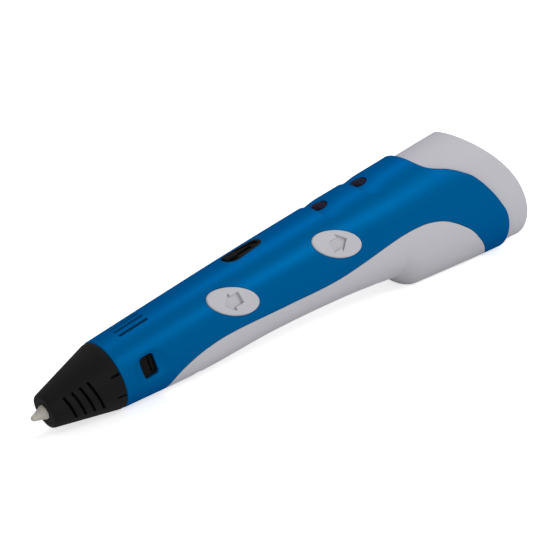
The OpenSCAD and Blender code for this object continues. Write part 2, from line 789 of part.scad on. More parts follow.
feed_rear = 11.5;
feed_end_x = feed_x + feed_rear;
module filament_inlet() {
    flange_r = 4.2;
    flange_t = 1.2;
    funnel_r = 2.5;
    out_x = inlet_face_x + flange_t;
    color("#2a2a2c") turned([
        [feed_end_x + clear, inlet_bore_r], [feed_end_x + clear, inlet_body_r], [inlet_face_x, inlet_body_r],
        [inlet_face_x, flange_r], [out_x, flange_r], [out_x, funnel_r], [out_x - 2, inlet_bore_r]
    ]);
}

jack_base = 3;
module dc_jack() {
    rear_x = jack_face_x - jack_depth - jack_base;
    color("#222224") translate([0, 0, jack_z]) difference() {
        rod(jack_body_r, rear_x, jack_face_x);
        rod(jack_bore_r, jack_face_x - jack_depth, big * 2);
        rod(jack_pin_r + fit, 0, big * 2);
    }
}

module jack_pin() {
    color("#c8c8ca") translate([0, 0, jack_z]) {
        rod(jack_pin_r, jack_face_x - jack_depth - jack_base - 2, jack_face_x - 1.5);
        translate([jack_face_x - 1.5, 0, 0]) sphere(r = jack_pin_r);
    }
}

// Buttons, their push switches and the board that carries them
cap_skirt = 1.2;
cap_flange = 0.9;
cap_gap = 0.25;
plunger_up = 1;
plunger_r = 1.7;
switch_w = 6;
switch_h = 3.5;
board_t = 1.2;
board_low = -8.5;
board_high = 3.2;
plunger_top = reach(extrude_x, button_tilt) - cover_wall - cap_gap - cap_skirt - 0.25;
board_top = plunger_top - plunger_up - switch_h;

module button(x, up) {
    near = button_len / 2 + 1;
    color("#e2e2e6") union() {
        difference() {
            union() {
                intersection() {
                    button_prism(x, up, 0);
                    loft(-button_proud, x - near, x + near);
                }
                intersection() {
                    button_prism(x, up, cap_flange);
                    loft(cover_wall + cap_gap, x - near, x + near);
                }
            }
            loft(cover_wall + cap_gap + cap_skirt, x - near - 1, x + near + 1);
        }
        facing(x, button_tilt, up) translate([0, 0, plunger_top])
            cylinder(r = 1.5, h = reach(x, button_tilt, up) - cover_wall - cap_gap - plunger_top - 0.4);
    }
}

module plunger(x, up) {
    color("#c23b33") facing(x, button_tilt, up) translate([0, 0, board_top + button_travel + 0.3])
        cylinder(r = plunger_r, h = plunger_top - board_top - button_travel - 0.3);
}

module push_switch(x, up) {
    color("#55565a") facing(x, button_tilt, up) translate([0, 0, board_top]) difference() {
        block([-switch_w / 2, -switch_w / 2, 0], [switch_w / 2, switch_w / 2, switch_h]);
        translate([0, 0, 0.3]) cylinder(r = plunger_r + fit, h = switch_h);
    }
}

module extrude_button() { button(extrude_x, 0); }
module retract_button() { button(retract_x, -retract_drop); }
module extrude_plunger() { plunger(extrude_x, 0); }
module retract_plunger() { plunger(retract_x, -retract_drop); }
module extrude_switch() { push_switch(extrude_x, 0); }
module retract_switch() { push_switch(retract_x, -retract_drop); }

module board_slab(grow) {
    facing(0, button_tilt) block(
        [extrude_x - 9 - grow, board_low - grow, board_top - board_t - grow],
        [retract_x + 9 + grow, board_high + grow, board_top + grow]
    );
}

module main_board() {
    color("#1f6b3a") board_slab(0);
}

// Speed slide on the ridge
slide_mid_x = slide_x + slide_len / 2;
slide_top = ridge(slide_mid_x);
track_sink = 0.6;
track_flange = 1;
flange_top = top_at(slide_x, slide_wide_r + track_flange, cover_wall) - seat;
flange_low = flange_top - 1.1;
slot_w = 1.6;
stem_l = 1.8;
pad_l = 4;
pad_w = 3;
slider_x = slide_x - 0.8;
pot_h = 3.2;
pot_slot = 1.2;

module slide_slot(grow, low) {
    block(
        [slider_x - stem_l / 2 - grow, -slot_w / 2, low],
        [slider_x + stem_l / 2 + slide_travel + grow, slot_w / 2, 30]
    );
}

module slider_track() {
    color("#141414") difference() {
        union() {
            translate([0, 0, flange_low]) linear_extrude(height = slide_top - track_sink - flange_low) teardrop(-seat);
            translate([0, 0, flange_low]) linear_extrude(height = flange_top - flange_low) teardrop(track_flange);
        }
        slide_slot(clear, 0);
    }
}

module speed_slider() {
    grooves = 3;
    pad_low = slide_top - track_sink + 0.15;
    pad_top = slide_top + 0.35;
    color("#0e0e0e") difference() {
        union() {
            block([slider_x - pad_l / 2, -pad_w / 2, pad_low], [slider_x + pad_l / 2, pad_w / 2, pad_top]);
            block(
                [slider_x - stem_l / 2, -slot_w / 2 + 0.15, flange_low - pot_slot + 0.3],
                [slider_x + stem_l / 2, slot_w / 2 - 0.15, pad_low + 0.1]
            );
        }
        for (i = [0:grooves - 1])
            translate([slider_x + (i - (grooves - 1) / 2) * 1.1, 0, pad_top]) rotate([90, 45, 0])
                cube([0.4, 0.4, pad_w + 2], center = true);
    }
}

module speed_pot() {
    side = 3;
    color("#6d6f72") difference() {
        block(
            [slider_x - stem_l / 2 - side, -slide_wide_r + 0.3, flange_low - pot_h],
            [slider_x + stem_l / 2 + slide_travel + side, slide_wide_r - 0.3, flange_low]
        );
        slide_slot(clear, flange_low - pot_slot);
    }
}

// Mode switch behind its dished window
mode_body_w = 6.2;
mode_body_front = collar_end_x + clear - mode_x;
mode_body_rear = 4.6;
mode_body_h = 2.4;
mode_body_top = min(
    reach(mode_x, mode_tilt, mode_body_w / 2, cover_wall), reach(mode_x, mode_tilt, -mode_body_w / 2, cover_wall)
) - 0.2;
mode_knob_l = 2.6;
mode_knob_x = mode_knob_l / 2 + 0.25 - mode_window_l / 2;
mode_stem = 1.5;

module mode_knob() {
    top = mode_reach - mode_dish - 0.3;
    w = mode_window_h - 0.6;
    color("#101010") facing(mode_x, mode_tilt) difference() {
        union() {
            block(
                [mode_knob_x - mode_knob_l / 2, -w / 2, mode_body_top + 0.15],
                [mode_knob_x + mode_knob_l / 2, w / 2, top]
            );
            block(
                [mode_knob_x - mode_stem / 2, -mode_stem / 2, mode_body_top - 1],
                [mode_knob_x + mode_stem / 2, mode_stem / 2, mode_body_top + 0.2]
            );
        }
        translate([mode_knob_x, 0, top]) rotate([90, 45, 0]) cube([0.5, 0.5, w + 2], center = true);
    }
}

module mode_switch() {
    color("#3a3b3e") facing(mode_x, mode_tilt) difference() {
        block(
            [mode_body_front, -mode_body_w / 2, mode_body_top - mode_body_h],
            [mode_body_rear, mode_body_w / 2, mode_body_top]
        );
        block(
            [mode_knob_x - mode_stem / 2 - clear, -mode_stem / 2 - 0.1, mode_body_top - 1.3],
            [mode_knob_x + mode_stem / 2 + mode_travel + clear, mode_stem / 2 + 0.1, mode_body_top + 1]
        );
    }
}

// Indicator lights in the ridge wells
lens_rise = 0.6;
module indicator(x, tint) {
    rim_r = led_r + 0.4;
    rim_top = top_at(x, rim_r, cover_wall) - seat;
    lens_top = ridge(x) - led_sink;
    lens_r = (led_r ^ 2 + lens_rise ^ 2) / (2 * lens_rise);
    sweep = asin(led_r / lens_r);
    arc = 6;
    color(tint) translate([x, 0, 0]) rotate_extrude() polygon(concat(
        [[0, rim_top - 1], [rim_r, rim_top - 1], [rim_r, rim_top], [led_r, rim_top]],
        [
            for (i = [arc:-1:0])
                let(a = sweep * i / arc) [lens_r * sin(a), lens_top - lens_r * (1 - cos(a))]
        ]
    ));
}

module power_led() { indicator(led_front_x, "#3b1014"); }
module ready_led() { indicator(led_rear_x, "#141c3a"); }

// Fan under the ridge vents
fan_x = vent_x + vent_len / 2;
fan_wall = 0.6;
fan_floor = 0.8;
fan_top = top_at(fan_x - fan_r, fan_r, cover_wall) - seat;
fan_low = fan_top - fan_h;
fan_pin_r = 0.6;

module fan_frame() {
    color("#202022") translate([fan_x, 0, fan_low]) difference() {
        cylinder(r = fan_r, h = fan_h);
        translate([0, 0, -1]) cylinder(r = fan_r - fan_wall, h = fan_h + 2);
    }
    color("#202022") translate([fan_x, 0, fan_low]) {
        cylinder(r = 2, h = fan_floor);
        for (a = [0, 120, 240]) rotate([0, 0, a]) block([0, -0.5, 0], [fan_r - 0.3, 0.5, fan_floor]);
        cylinder(r = fan_pin_r, h = fan_h - 1.1);
    }
}

module fan_rotor() {
    boss_r = 2.1;
    low = fan_floor + 0.3;
    high = fan_h - 0.3;
    color("#2c2c2e") translate([fan_x, 0, fan_low]) difference() {
        union() {
            translate([0, 0, low]) cylinder(r = boss_r, h = high - low);
            for (i = [0:fan_blades - 1])
                rotate([0, 0, i * 360 / fan_blades]) translate([boss_r - 0.3, 0, (low + high) / 2]) rotate([35, 0, 0])
                    block([0, -1.1, -0.2], [fan_r - fan_wall - boss_r - 0.1, 1.1, 0.2]);
        }
        translate([0, 0, -1]) cylinder(r = fan_pin_r + fit, h = fan_h);
    }
}

// Feed: gearmotor, toothed wheel and the sprung idler
feed_top = feed_low + feed_t;
pinch = 0.1;
wheel_y = wheel_r + filament_r - pinch;
idler_y = -idler_r - filament_r + pinch;
pivot_back = 7.5;
pivot_y = -7;
pivot = [feed_x + pivot_back, pivot_y];
arm_reach = 5.5;
arm_y = -7.2;
arm_end = [feed_x - arm_reach, arm_y];
pivot_pin_r = 1;
axle_r = 1.5;
lever_low = feed_top + 0.1;
lever_t = 1.2;
spring_wall_y = -10.5;
spring_wall_half = 2.1;
spring_wall_top = 0.6;
feed_side_y = -11.2;
feed_front = 10.5;
guide_half = 3.2;
guide_top = 3.2;
guide_front = 4.6;
guide_rear = 4.8;
guide_rear_half = 2.8;

module feed_block() {
    color("#303134") difference() {
        union() {
            block([feed_x - feed_front, feed_side_y, feed_low], [feed_end_x, -feed_side_y, feed_top]);
            block([feed_x - feed_front, -guide_half, feed_low], [feed_x - guide_front, guide_half, guide_top]);
            block([feed_x + guide_rear, -guide_rear_half, feed_low], [feed_end_x, guide_half, guide_top]);
            block(
                [arm_end[0] - spring_wall_half, feed_side_y, feed_low],
                [arm_end[0] + spring_wall_half, spring_wall_y, spring_wall_top]
            );
        }
        rod(tube_bore_r, 0, big * 2);
        rod(tube_r + fit, 0, tube_end_x);
        translate([feed_x, wheel_y, feed_low - 1]) cylinder(r = shaft_r + 1.6, h = 20);
        translate([pivot[0], pivot[1], feed_low - 1]) cylinder(r = pivot_pin_r, h = 20);
        for (p = feed_screw_places) translate([p[0], p[1], feed_low - 1]) cylinder(r = 1, h = 20);
    }
}

gearbox_boss_r = shaft_r + 1.4;
module motor_gearbox() {
    color("#b9a36a") translate([feed_x, wheel_y, feed_low - gearbox_len]) difference() {
        union() {
            cylinder(r = motor_r, h = gearbox_len);
            cylinder(r = gearbox_boss_r, h = gearbox_len + 1);
        }
        translate([0, 0, gearbox_len - 2.5]) cylinder(r = shaft_r + fit, h = 10);
    }
}

module drive_motor() {
    cap_t = 1.5;
    tag = 0.5;
    color("#8f9396") translate([feed_x, wheel_y, feed_low - gearbox_len - motor_len]) {
        translate([0, 0, cap_t]) cylinder(r = motor_r, h = motor_len - cap_t);
        cylinder(r = motor_r - 0.6, h = cap_t);
        for (side = [-1, 1]) block([side * 2.4 - tag, -tag, -1.6], [side * 2.4 + tag, tag, 0.2]);
    }
}

wheel_half = 2.3;
module drive_shaft() {
    color("#c4c6c8") translate([feed_x, wheel_y, feed_low - 2.3])
        cylinder(r = shaft_r, h = wheel_half + 2.3 - feed_low + 0.6);
}

module drive_wheel() {
    tooth = 0.45;
    color("#a9abad") translate([feed_x, wheel_y, -wheel_half]) difference() {
        linear_extrude(height = 2 * wheel_half) polygon([
            for (i = [0:2 * wheel_teeth - 1])
                let(r = i % 2 == 0 ? wheel_r : wheel_r - tooth, a = 180 * i / wheel_teeth) [r * cos(a), r * sin(a)]
        ]);
        translate([0, 0, -1]) cylinder(r = shaft_r + 0.01, h = 2 * wheel_half + 2);
    }
}

idler_half = 1.5;
module idler_bearing() {
    groove = 0.3;
    color("#b4b6b8") translate([feed_x, idler_y, -idler_half]) difference() {
        cylinder(r = idler_r, h = 2 * idler_half);
        translate([0, 0, -1]) cylinder(r = axle_r + fit, h = 10);
        for (z = [-1, 2 * idler_half - groove]) translate([0, 0, z]) difference() {
            cylinder(r = idler_r - 0.6, h = 1 + groove);
            cylinder(r = axle_r + 0.6, h = 1 + groove);
        }
    }
}

module arm(a, b, r) {
    hull() {
        translate(a) circle(r = r);
        translate(b) circle(r = r);
    }
}

arm_half = 0.9;
arm_r = 1.6;
arm_top = 1.5;
hub_r = 2;
hub_h = 4.4;
module idler_lever() {
    axle = [feed_x, idler_y];
    color("#3c3d40") difference() {
        union() {
            translate([0, 0, lever_low]) linear_extrude(height = lever_t) {
                arm(pivot, axle, hub_r);
                arm(axle, arm_end, arm_r);
            }
            translate([pivot[0], pivot[1], lever_low]) cylinder(r = hub_r, h = hub_h);
            translate([axle[0], axle[1], lever_low]) cylinder(r = axle_r, h = idler_half - lever_low + 0.4);
            block(
                [arm_end[0] - arm_r, arm_end[1] - arm_half, lever_low],
                [arm_end[0] + arm_r, arm_end[1] + arm_half, arm_top]
            );
        }
        translate([pivot[0], pivot[1], lever_low - 1]) cylinder(r = pivot_pin_r + fit, h = 20);
    }
}

pin_head = 0.8;
module lever_pin() {
    color("#c4c6c8") translate([pivot[0], pivot[1], feed_low]) {
        cylinder(r = pivot_pin_r, h = lever_low + hub_h + 2 * clear - feed_low);
        translate([0, 0, lever_low + hub_h + seat * 2 - feed_low]) cylinder(r = pivot_pin_r + pin_head, h = pin_head);
    }
}

// Spring wound between the lever's end and the wall of the feed block
spring_r = 0.9;
spring_wire_r = 0.18;
spring_turns = 3;
module lever_spring() {
    around = 10;
    ring = 5;
    wall_side = spring_wall_y + spring_wire_r + fit;
    lever_side = arm_end[1] - arm_half - spring_wire_r - fit;
    steps = spring_turns * around;
    points = [
        for (k = [0:steps], j = [0:ring - 1])
            let(a = 360 * k / around, b = 360 * j / ring, r = spring_r + spring_wire_r * cos(b))
            [r * cos(a), wall_side + (lever_side - wall_side) * k / steps + spring_wire_r * sin(b), r * sin(a)]
    ];
    color("#d0d2d4") translate([arm_end[0], 0, -0.4]) polyhedron(
        points = points,
        faces = concat(
            [[for (j = [ring - 1:-1:0]) j]],
            [
                for (k = [0:steps - 1], j = [0:ring - 1])
                    let(a = k * ring + j, b = k * ring + (j + 1) % ring)
                    each [[a, b, b + ring], [a, b + ring, a + ring]]
            ],
            [[for (j = [0:ring - 1]) steps * ring + j]]
        )
    );
}

// Fasteners
feed_head_r = 1.5;
feed_head_t = 1.2;
feed_shank_r = 0.78;
feed_bite = 4.5;
module shell_screws() {
    color("#9a9c9e") for (p = screw_places) translate([p[0], p[1], screw_seat_z(p)]) {
        translate([0, 0, -screw_head_t]) cylinder(r = screw_head_r, h = screw_head_t);
        cylinder(r = screw_r, h = screw_joint_z - screw_seat_z(p) + screw_bite);
    }
}

module feed_screws() {
    color("#9a9c9e") for (p = feed_screw_places) translate([p[0], p[1], feed_top]) {
        cylinder(r = feed_head_r, h = feed_head_t);
        translate([0, 0, -feed_t - feed_bite]) cylinder(r = feed_shank_r, h = feed_t + feed_bite + seat);
    }
}

laid_down() nose_cone();
laid_down() ceramic_nozzle();
laid_down() hot_end_barrel();
laid_down() heater_sleeve();
laid_down() thermistor();
laid_down() hot_end_mount();
laid_down() guide_tube();
laid_down() cover();
laid_down() belly();
laid_down() tail_shell();
laid_down() tail_plate();
laid_down() filament_inlet();
laid_down() dc_jack();
laid_down() jack_pin();
laid_down() extrude_button();
laid_down() retract_button();
laid_down() extrude_plunger();
laid_down() retract_plunger();
laid_down() extrude_switch();
laid_down() retract_switch();
laid_down() main_board();
laid_down() slider_track();
laid_down() speed_slider();
laid_down() speed_pot();
laid_down() mode_knob();
laid_down() mode_switch();
laid_down() power_led();
laid_down() ready_led();
laid_down() fan_frame();
laid_down() fan_rotor();
laid_down() feed_block();
laid_down() drive_motor();
laid_down() motor_gearbox();
laid_down() drive_shaft();
laid_down() drive_wheel();
laid_down() idler_bearing();
laid_down() idler_lever();
laid_down() lever_pin();
laid_down() lever_spring();
laid_down() shell_screws();
laid_down() feed_screws();
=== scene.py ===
"""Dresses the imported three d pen: smooth moulded shells, recessed button marks, screws and finishes.

Sizes are in millimetres in the pen's own frame: x runs from the nozzle tip to the tail along the
filament, z points at the ridge and the buttons face -y. Bench.place() turns them onto the table, in metres.
"""

from __future__ import annotations

import logging
import math
from abc import ABC, abstractmethod
from dataclasses import dataclass
from enum import Enum
from typing import Any, Callable, Sequence

import bmesh
import bpy
import numpy as np
from mathutils import Matrix, Vector

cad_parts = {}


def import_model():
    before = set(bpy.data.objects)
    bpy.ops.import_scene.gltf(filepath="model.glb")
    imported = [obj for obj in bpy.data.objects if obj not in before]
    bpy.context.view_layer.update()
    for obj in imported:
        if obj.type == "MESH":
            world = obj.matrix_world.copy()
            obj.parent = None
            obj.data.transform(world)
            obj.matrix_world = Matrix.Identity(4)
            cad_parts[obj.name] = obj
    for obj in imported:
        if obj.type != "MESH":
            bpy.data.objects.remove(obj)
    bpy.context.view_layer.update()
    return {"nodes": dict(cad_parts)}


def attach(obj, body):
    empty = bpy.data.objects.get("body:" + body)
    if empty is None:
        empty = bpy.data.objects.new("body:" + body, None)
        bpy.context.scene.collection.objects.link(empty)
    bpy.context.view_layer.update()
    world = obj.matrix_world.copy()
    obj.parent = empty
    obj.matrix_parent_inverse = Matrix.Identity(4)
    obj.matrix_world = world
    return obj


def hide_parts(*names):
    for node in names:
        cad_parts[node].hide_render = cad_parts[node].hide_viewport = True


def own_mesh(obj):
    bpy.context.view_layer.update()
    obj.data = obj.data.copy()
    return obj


LOG = logging.getLogger("three_d_pen")
MM = 0.001
SHARP_DEG = 32.0
# Tilt of a look straight out through the ridge.
RIDGE_DEG = 90.0
# Settings of the Math nodes that subtract and multiply.
MINUS = {"operation": "SUBTRACT"}
TIMES = {"operation": "MULTIPLY"}

Points = np.ndarray
Outline = Sequence[tuple[float, float]]
Pair = tuple[float, float]
Sockets = dict[str, bpy.types.NodeSocket]


def linear(hex_colour: str) -> tuple[float, float, float, float]:
    """Turns an sRGB hex value into linear light.

    Args:
        hex_colour: Colour such as "#0b6aa4".

    Returns:
        Linear red, green, blue and an alpha of one.
    """
    channels = [int(hex_colour[i : i + 2], 16) / 255 for i in (1, 3, 5)]
    light = [c / 12.92 if c <= 0.04045 else ((c + 0.055) / 1.055) ** 2.4 for c in channels]
    return (light[0], light[1], light[2], 1.0)


def add_node(
    tree: bpy.types.NodeTree,
    kind: str,
    settings: dict[str, Any] | None = None,
    inputs: dict[str | int, Any] | None = None,
    links: dict[str | int, bpy.types.NodeSocket] | None = None,
) -> bpy.types.Node:
    """Adds a node with its settings, fixed inputs and links.

    Args:
        tree: Tree that gets the node.
        kind: Blender's name for the kind of node.
        settings: Properties of the node itself.
        inputs: Values for its sockets, by name or place.
        links: Sockets that feed its sockets, by name or place.

    Returns:
        The new node.
    """
    node = tree.nodes.new(kind)
    for name, value in (settings or {}).items():
        setattr(node, name, value)
    for key, value in (inputs or {}).items():
        node.inputs[key].default_value = value
    for key, socket in (links or {}).items():
        tree.links.new(socket, node.inputs[key])
    return node


def empty_material(name: str) -> tuple[bpy.types.Material, bpy.types.NodeTree]:
    """Makes a material without nodes.

    Args:
        name: Name of the material.

    Returns:
        The material and its empty tree.
    """
    made = bpy.data.materials.new(name)
    made.use_nodes = True
    made.node_tree.nodes.clear()
    return made, made.node_tree


@dataclass(frozen=True)
class Moulded:
    """Injection moulded plastic: a fine eroded grain, slow colour drift and softly broken edges."""

    name: str
    colour: str
    drift: str
    roughness: float
    specular: float = 0.12
    tint: str = "#ffffff"
    metallic: float = 0.0
    ior: float = 1.5
    # The grain of a real tool is under 0.1 mm, too fine to show, so it is drawn this coarse.
    grain_mm: float = 0.5
    grain_detail: float = 2.0
    grain_depth: float = 0.1
    bump_mm: float = 0.05
    drift_mm: float = 30.0
    drift_detail: float = 3.0
    edge_mm: float = 0.3
    edge_samples: int = 6
    # A face turns dull where it is seen at a slant. Haze says how soon.
    haze: float = 0.35
    gloss_dip: float = 0.05
    gloss_spread: float = 0.1

    def material(self) -> bpy.types.Material:
        """Builds the material.

        Returns:
            Material whose grain and drift follow Object coordinates.
        """
        made, tree = empty_material(self.name)
        place = add_node(tree, "ShaderNodeTexCoord").outputs["Object"]
        slow, grain = [
            add_node(
                tree,
                "ShaderNodeTexNoise",
                inputs={"Scale": 1 / (size * MM), "Detail": detail},
                links={"Vector": place},
            ).outputs["Fac"]
            for size, detail in ((self.drift_mm, self.drift_detail), (self.grain_mm, self.grain_detail))
        ]
        colour = add_node(
            tree,
            "ShaderNodeMix",
            {"data_type": "RGBA"},
            {6: linear(self.colour), 7: linear(self.drift)},
            {0: slow},
        )
        slant = add_node(tree, "ShaderNodeLayerWeight", inputs={"Blend": self.haze})
        haze = add_node(
            tree,
            "ShaderNodeMapRange",
            inputs={"To Min": self.roughness - self.gloss_dip, "To Max": 1.0},
            links={"Value": slant.outputs["Facing"]},
        )
        gloss = add_node(
            tree,
            "ShaderNodeMath",
            {"operation": "MULTIPLY_ADD", "use_clamp": True},
            {1: self.gloss_spread},
            {0: grain, 2: haze.outputs["Result"]},
        )
        soften = {"Radius": self.edge_mm * MM}
        edge = add_node(tree, "ShaderNodeBevel", {"samples": self.edge_samples}, soften)
        bump = add_node(
            tree,
            "ShaderNodeBump",
            inputs={"Strength": self.grain_depth, "Distance": self.bump_mm * MM},
            links={"Height": grain, "Normal": edge.outputs["Normal"]},
        )
        shader = add_node(
            tree,
            "ShaderNodeBsdfPrincipled",
            inputs={
                "IOR": self.ior,
                "Metallic": self.metallic,
                "Specular IOR Level": self.specular,
                "Specular Tint": linear(self.tint),
            },
            links={
                "Base Color": colour.outputs[2],
                "Roughness": gloss.outputs[0],
                "Normal": bump.outputs["Normal"],
            },
        )
        add_node(tree, "ShaderNodeOutputMaterial", links={"Surface": shader.outputs["BSDF"]})
        return made


@dataclass(frozen=True)
class Metal:
    """Machined metal: fine tool marks vary its gloss."""

    name: str
    colour: str
    roughness: float
    # Real tool marks are finer, too fine to show, so they are drawn this coarse.
    mark_mm: float = 0.15
    mark_detail: float = 2.0
    mark_depth: float = 0.08
    bump_mm: float = 0.02
    gloss_spread: float = 0.08

    def material(self) -> bpy.types.Material:
        """Builds the material.

        Returns:
            Material whose tool marks follow Object coordinates.
        """
        made, tree = empty_material(self.name)
        place = add_node(tree, "ShaderNodeTexCoord").outputs["Object"]
        marks = add_node(
            tree,
            "ShaderNodeTexNoise",
            inputs={"Scale": 1 / (self.mark_mm * MM), "Detail": self.mark_detail},
            links={"Vector": place},
        ).outputs["Fac"]
        low, high = self.roughness - self.gloss_spread, self.roughness + self.gloss_spread
        gloss = add_node(
            tree,
            "ShaderNodeMapRange",
            inputs={"To Min": low, "To Max": high},
            links={"Value": marks},
        )
        bump = add_node(
            tree,
            "ShaderNodeBump",
            inputs={"Strength": self.mark_depth, "Distance": self.bump_mm * MM},
            links={"Height": marks},
        )
        shader = add_node(
            tree,
            "ShaderNodeBsdfPrincipled",
            inputs={"Base Color": linear(self.colour), "Metallic": 1.0},
            links={"Roughness": gloss.outputs["Result"], "Normal": bump.outputs["Normal"]},
        )
        add_node(tree, "ShaderNodeOutputMaterial", links={"Surface": shader.outputs["BSDF"]})
        return made


class Stock(Enum):
    """Every finish on the pen, by what the real piece is made of."""

    # Moulded with pearl in the resin, in a lightly blasted tool: soft light bands, deep blue between them.
    BLUE_ABS = Moulded(
        "abs_blue_pearl_satin",
        "#005c94",
        "#00588e",
        0.36,
        specular=0.0,
        tint="#0090ff",
        metallic=0.27,
        haze=0.15,
    )
    # Moulded in a lightly blasted tool: an even cool white that shades softly and never glints.
    WHITE_ABS = Moulded("abs_white_satin", "#cecdd2", "#cac9ce", 0.42)
    # Moulded with short glass fibres: a dull black with a fine uneven grain, no clear highlight.
    BLACK_NYLON = Moulded(
        "nylon_black_glass_filled", "#0f0f10", "#0b0b0c", 0.5, specular=0.09, grain_mm=0.7, grain_depth=0.25
    )
    # Moulded small parts: near black with a dull sheen on their rolled edges.
    BLACK_ABS = Moulded("abs_black_satin", "#0d0d0c", "#090908", 0.45, specular=0.06)
    # Moulded switch bodies: a dry mid grey.
    GREY_NYLON = Moulded("nylon_grey", "#45474b", "#3c3e42", 0.55)
    # Moulded plungers: a plain signal red.
    RED_ABS = Moulded("abs_red", "#b23830", "#a5312a", 0.45)
    # Cast lens with its lamp off, coloured almost black with a little red in it: the shade of the hole it
    # sits in is painted into the lens.
    RED_RESIN = Moulded("epoxy_lens_red_unlit", "#20162c", "#181022", 0.35, specular=0.04, edge_mm=0.1)
    # Cast lens with its lamp off, coloured almost black with a little blue in it: the shade of the hole it
    # sits in is painted into the lens.
    BLUE_RESIN = Moulded("epoxy_lens_blue_unlit", "#1a162e", "#121022", 0.35, specular=0.04, edge_mm=0.1)
    # Pressed and fired, not glazed: a bone white with a fine dry grain.
    ALUMINA = Moulded("alumina_fired_unglazed", "#cfccc2", "#c4c0b4", 0.42, specular=0.3, grain_mm=0.25)
    # Pressed and fired sleeve, browned by its heat: a warm dull brown.
    STEATITE = Moulded("steatite_heat_browned", "#5a5248", "#4e473e", 0.6, grain_mm=0.25)
    # Dipped bead: dark brown and glassy.
    BEAD_RESIN = Moulded("epoxy_bead_brown", "#3a3026", "#2c241c", 0.3)
    # Pressed glass cloth with a solder mask: an even satin green.
    LAMINATE = Moulded("glass_laminate_green", "#1f6b3a", "#1a5c32", 0.4)
    # Extruded tube: milky white, waxy.
    PTFE = Moulded("ptfe_natural", "#eceae2", "#e2e0d6", 0.45)
    # Pressed flakes: a brown grey board with broad mottling.
    MICA = Moulded("mica_board_pressed", "#4a443c", "#3e3932", 0.65, grain_mm=1.2)
    # Turned and zinc plated: a cool grey metal with soft reflections.
    STEEL = Metal("steel_zinc_plated", "#b9bbbd", 0.32)
    # Turned: a warm yellow metal with soft reflections.
    BRASS = Metal("brass_turned", "#b08d57", 0.3)
    # Turned, then browned by its heater: a dark dull metal.
    TINTED_BRASS = Metal("brass_heat_tinted", "#3c2c1c", 0.5)


STOCK_NODES: dict[Stock, tuple[str, ...]] = {
    Stock.TINTED_BRASS: ("hot_end_barrel",),
    Stock.STEATITE: ("heater_sleeve",),
    Stock.BEAD_RESIN: ("thermistor",),
    Stock.MICA: ("hot_end_mount",),
    Stock.PTFE: ("guide_tube",),
    Stock.WHITE_ABS: ("tail_plate",),
    Stock.RED_ABS: ("extrude_plunger", "retract_plunger"),
    Stock.LAMINATE: ("main_board",),
    Stock.RED_RESIN: ("power_led",),
    Stock.BLUE_RESIN: ("ready_led",),
    Stock.BRASS: ("motor_gearbox",),
    Stock.GREY_NYLON: ("extrude_switch", "retract_switch", "speed_pot", "feed_block", "idler_lever"),
    Stock.BLACK_ABS: (
        "filament_inlet", "dc_jack", "slider_track", "speed_slider", "mode_switch", "fan_frame", "fan_rotor"
    ),
    Stock.STEEL: (
        "jack_pin", "drive_motor", "drive_shaft", "drive_wheel", "idler_bearing", "lever_pin", "feed_screws"
    ),
}


class Finishes:
    """Makes each material once and hands it out."""

    def __init__(self) -> None:
        """Starts with no material made."""
        self._made: dict[Stock, bpy.types.Material] = {}

    def get(self, stock: Stock) -> bpy.types.Material:
        """Gives the material of a stock, made on first use.

        Args:
            stock: What a piece is made of.

        Returns:
            The one material of that stock.
        """
        if stock not in self._made:
            self._made[stock] = stock.value.material()
        return self._made[stock]


@dataclass(frozen=True)
class Bench:
    """How the pen lies: its pitch, and where its nozzle tip is over the middle of its footprint."""

    pitch_deg: float = 8.5
    tip_x: float = -93.2358
    base: float = 6.89933

    @property
    def rise(self) -> float:
        """Slope of the bench against the filament."""
        return math.tan(math.radians(self.pitch_deg))

    @property
    def turn(self) -> np.ndarray:
        """Rows are the pen's x, y and z on the bench."""
        a = math.radians(self.pitch_deg)
        return np.array([[math.cos(a), 0, math.sin(a)], [0, 1, 0], [-math.sin(a), 0, math.cos(a)]])

    def place(self, points: Points) -> Points:
        """Turns pen points in millimetres into bench points in metres."""
        tip = np.array([self.tip_x, 0, self.base * math.cos(math.radians(self.pitch_deg))])
        return (np.asarray(points, float) @ self.turn + tip) * MM

    def direction(self, vector: Sequence[float]) -> Vector:
        """Turns a direction of the pen onto the bench."""
        return Vector(np.asarray(vector, float) @ self.turn)


def full_turn(count: int) -> Points:
    """Angles evenly around a circle."""
    return np.linspace(0, 2 * math.pi, count, endpoint=False)


def rolled_edge(radius: float, rows: int, sweep_deg: float = 90.0) -> list[Pair]:
    """Works out a rolled edge between two faces.

    Args:
        radius: Radius of the roll.
        rows: Points on it.
        sweep_deg: How far round it goes.

    Returns:
        Each point's distance from the face where the roll starts and from the face where it ends.
    """
    sweep = np.radians(np.linspace(0, sweep_deg, rows))
    return [(radius * (1 - math.cos(q)), radius * (1 - math.sin(q))) for q in sweep]


def hermite(share: Points, start: Points, leave: Points, end: Points, arrive: Points) -> Points:
    """Runs smoothly from one value to the next.

    Args:
        share: Share of the way.
        start: Value at the start.
        leave: Slope at the start, over the whole way.
        end: Value at the end.
        arrive: Slope at the end, over the whole way.

    Returns:
        The value at each share.
    """
    square, cube = share**2, share**3
    return (
        (2 * cube - 3 * square + 1) * start
        + (cube - 2 * square + share) * leave
        + (3 * square - 2 * cube) * end
        + (cube - square) * arrive
    )


def halve(low: Points, high: Points, past: Callable[[Points], Points], steps: int) -> Points:
    """Finds by halving where a condition starts to hold.

    Args:
        low: Values before that place.
        high: Values after it.
        past: Says for each value whether it is after it.
        steps: How often the range is halved.

    Returns:
        The last values found before it.
    """
    for _ in range(steps):
        middle = (low + high) / 2
        after = past(middle)
        high = np.where(after, middle, high)
        low = np.where(after, low, middle)
    return low


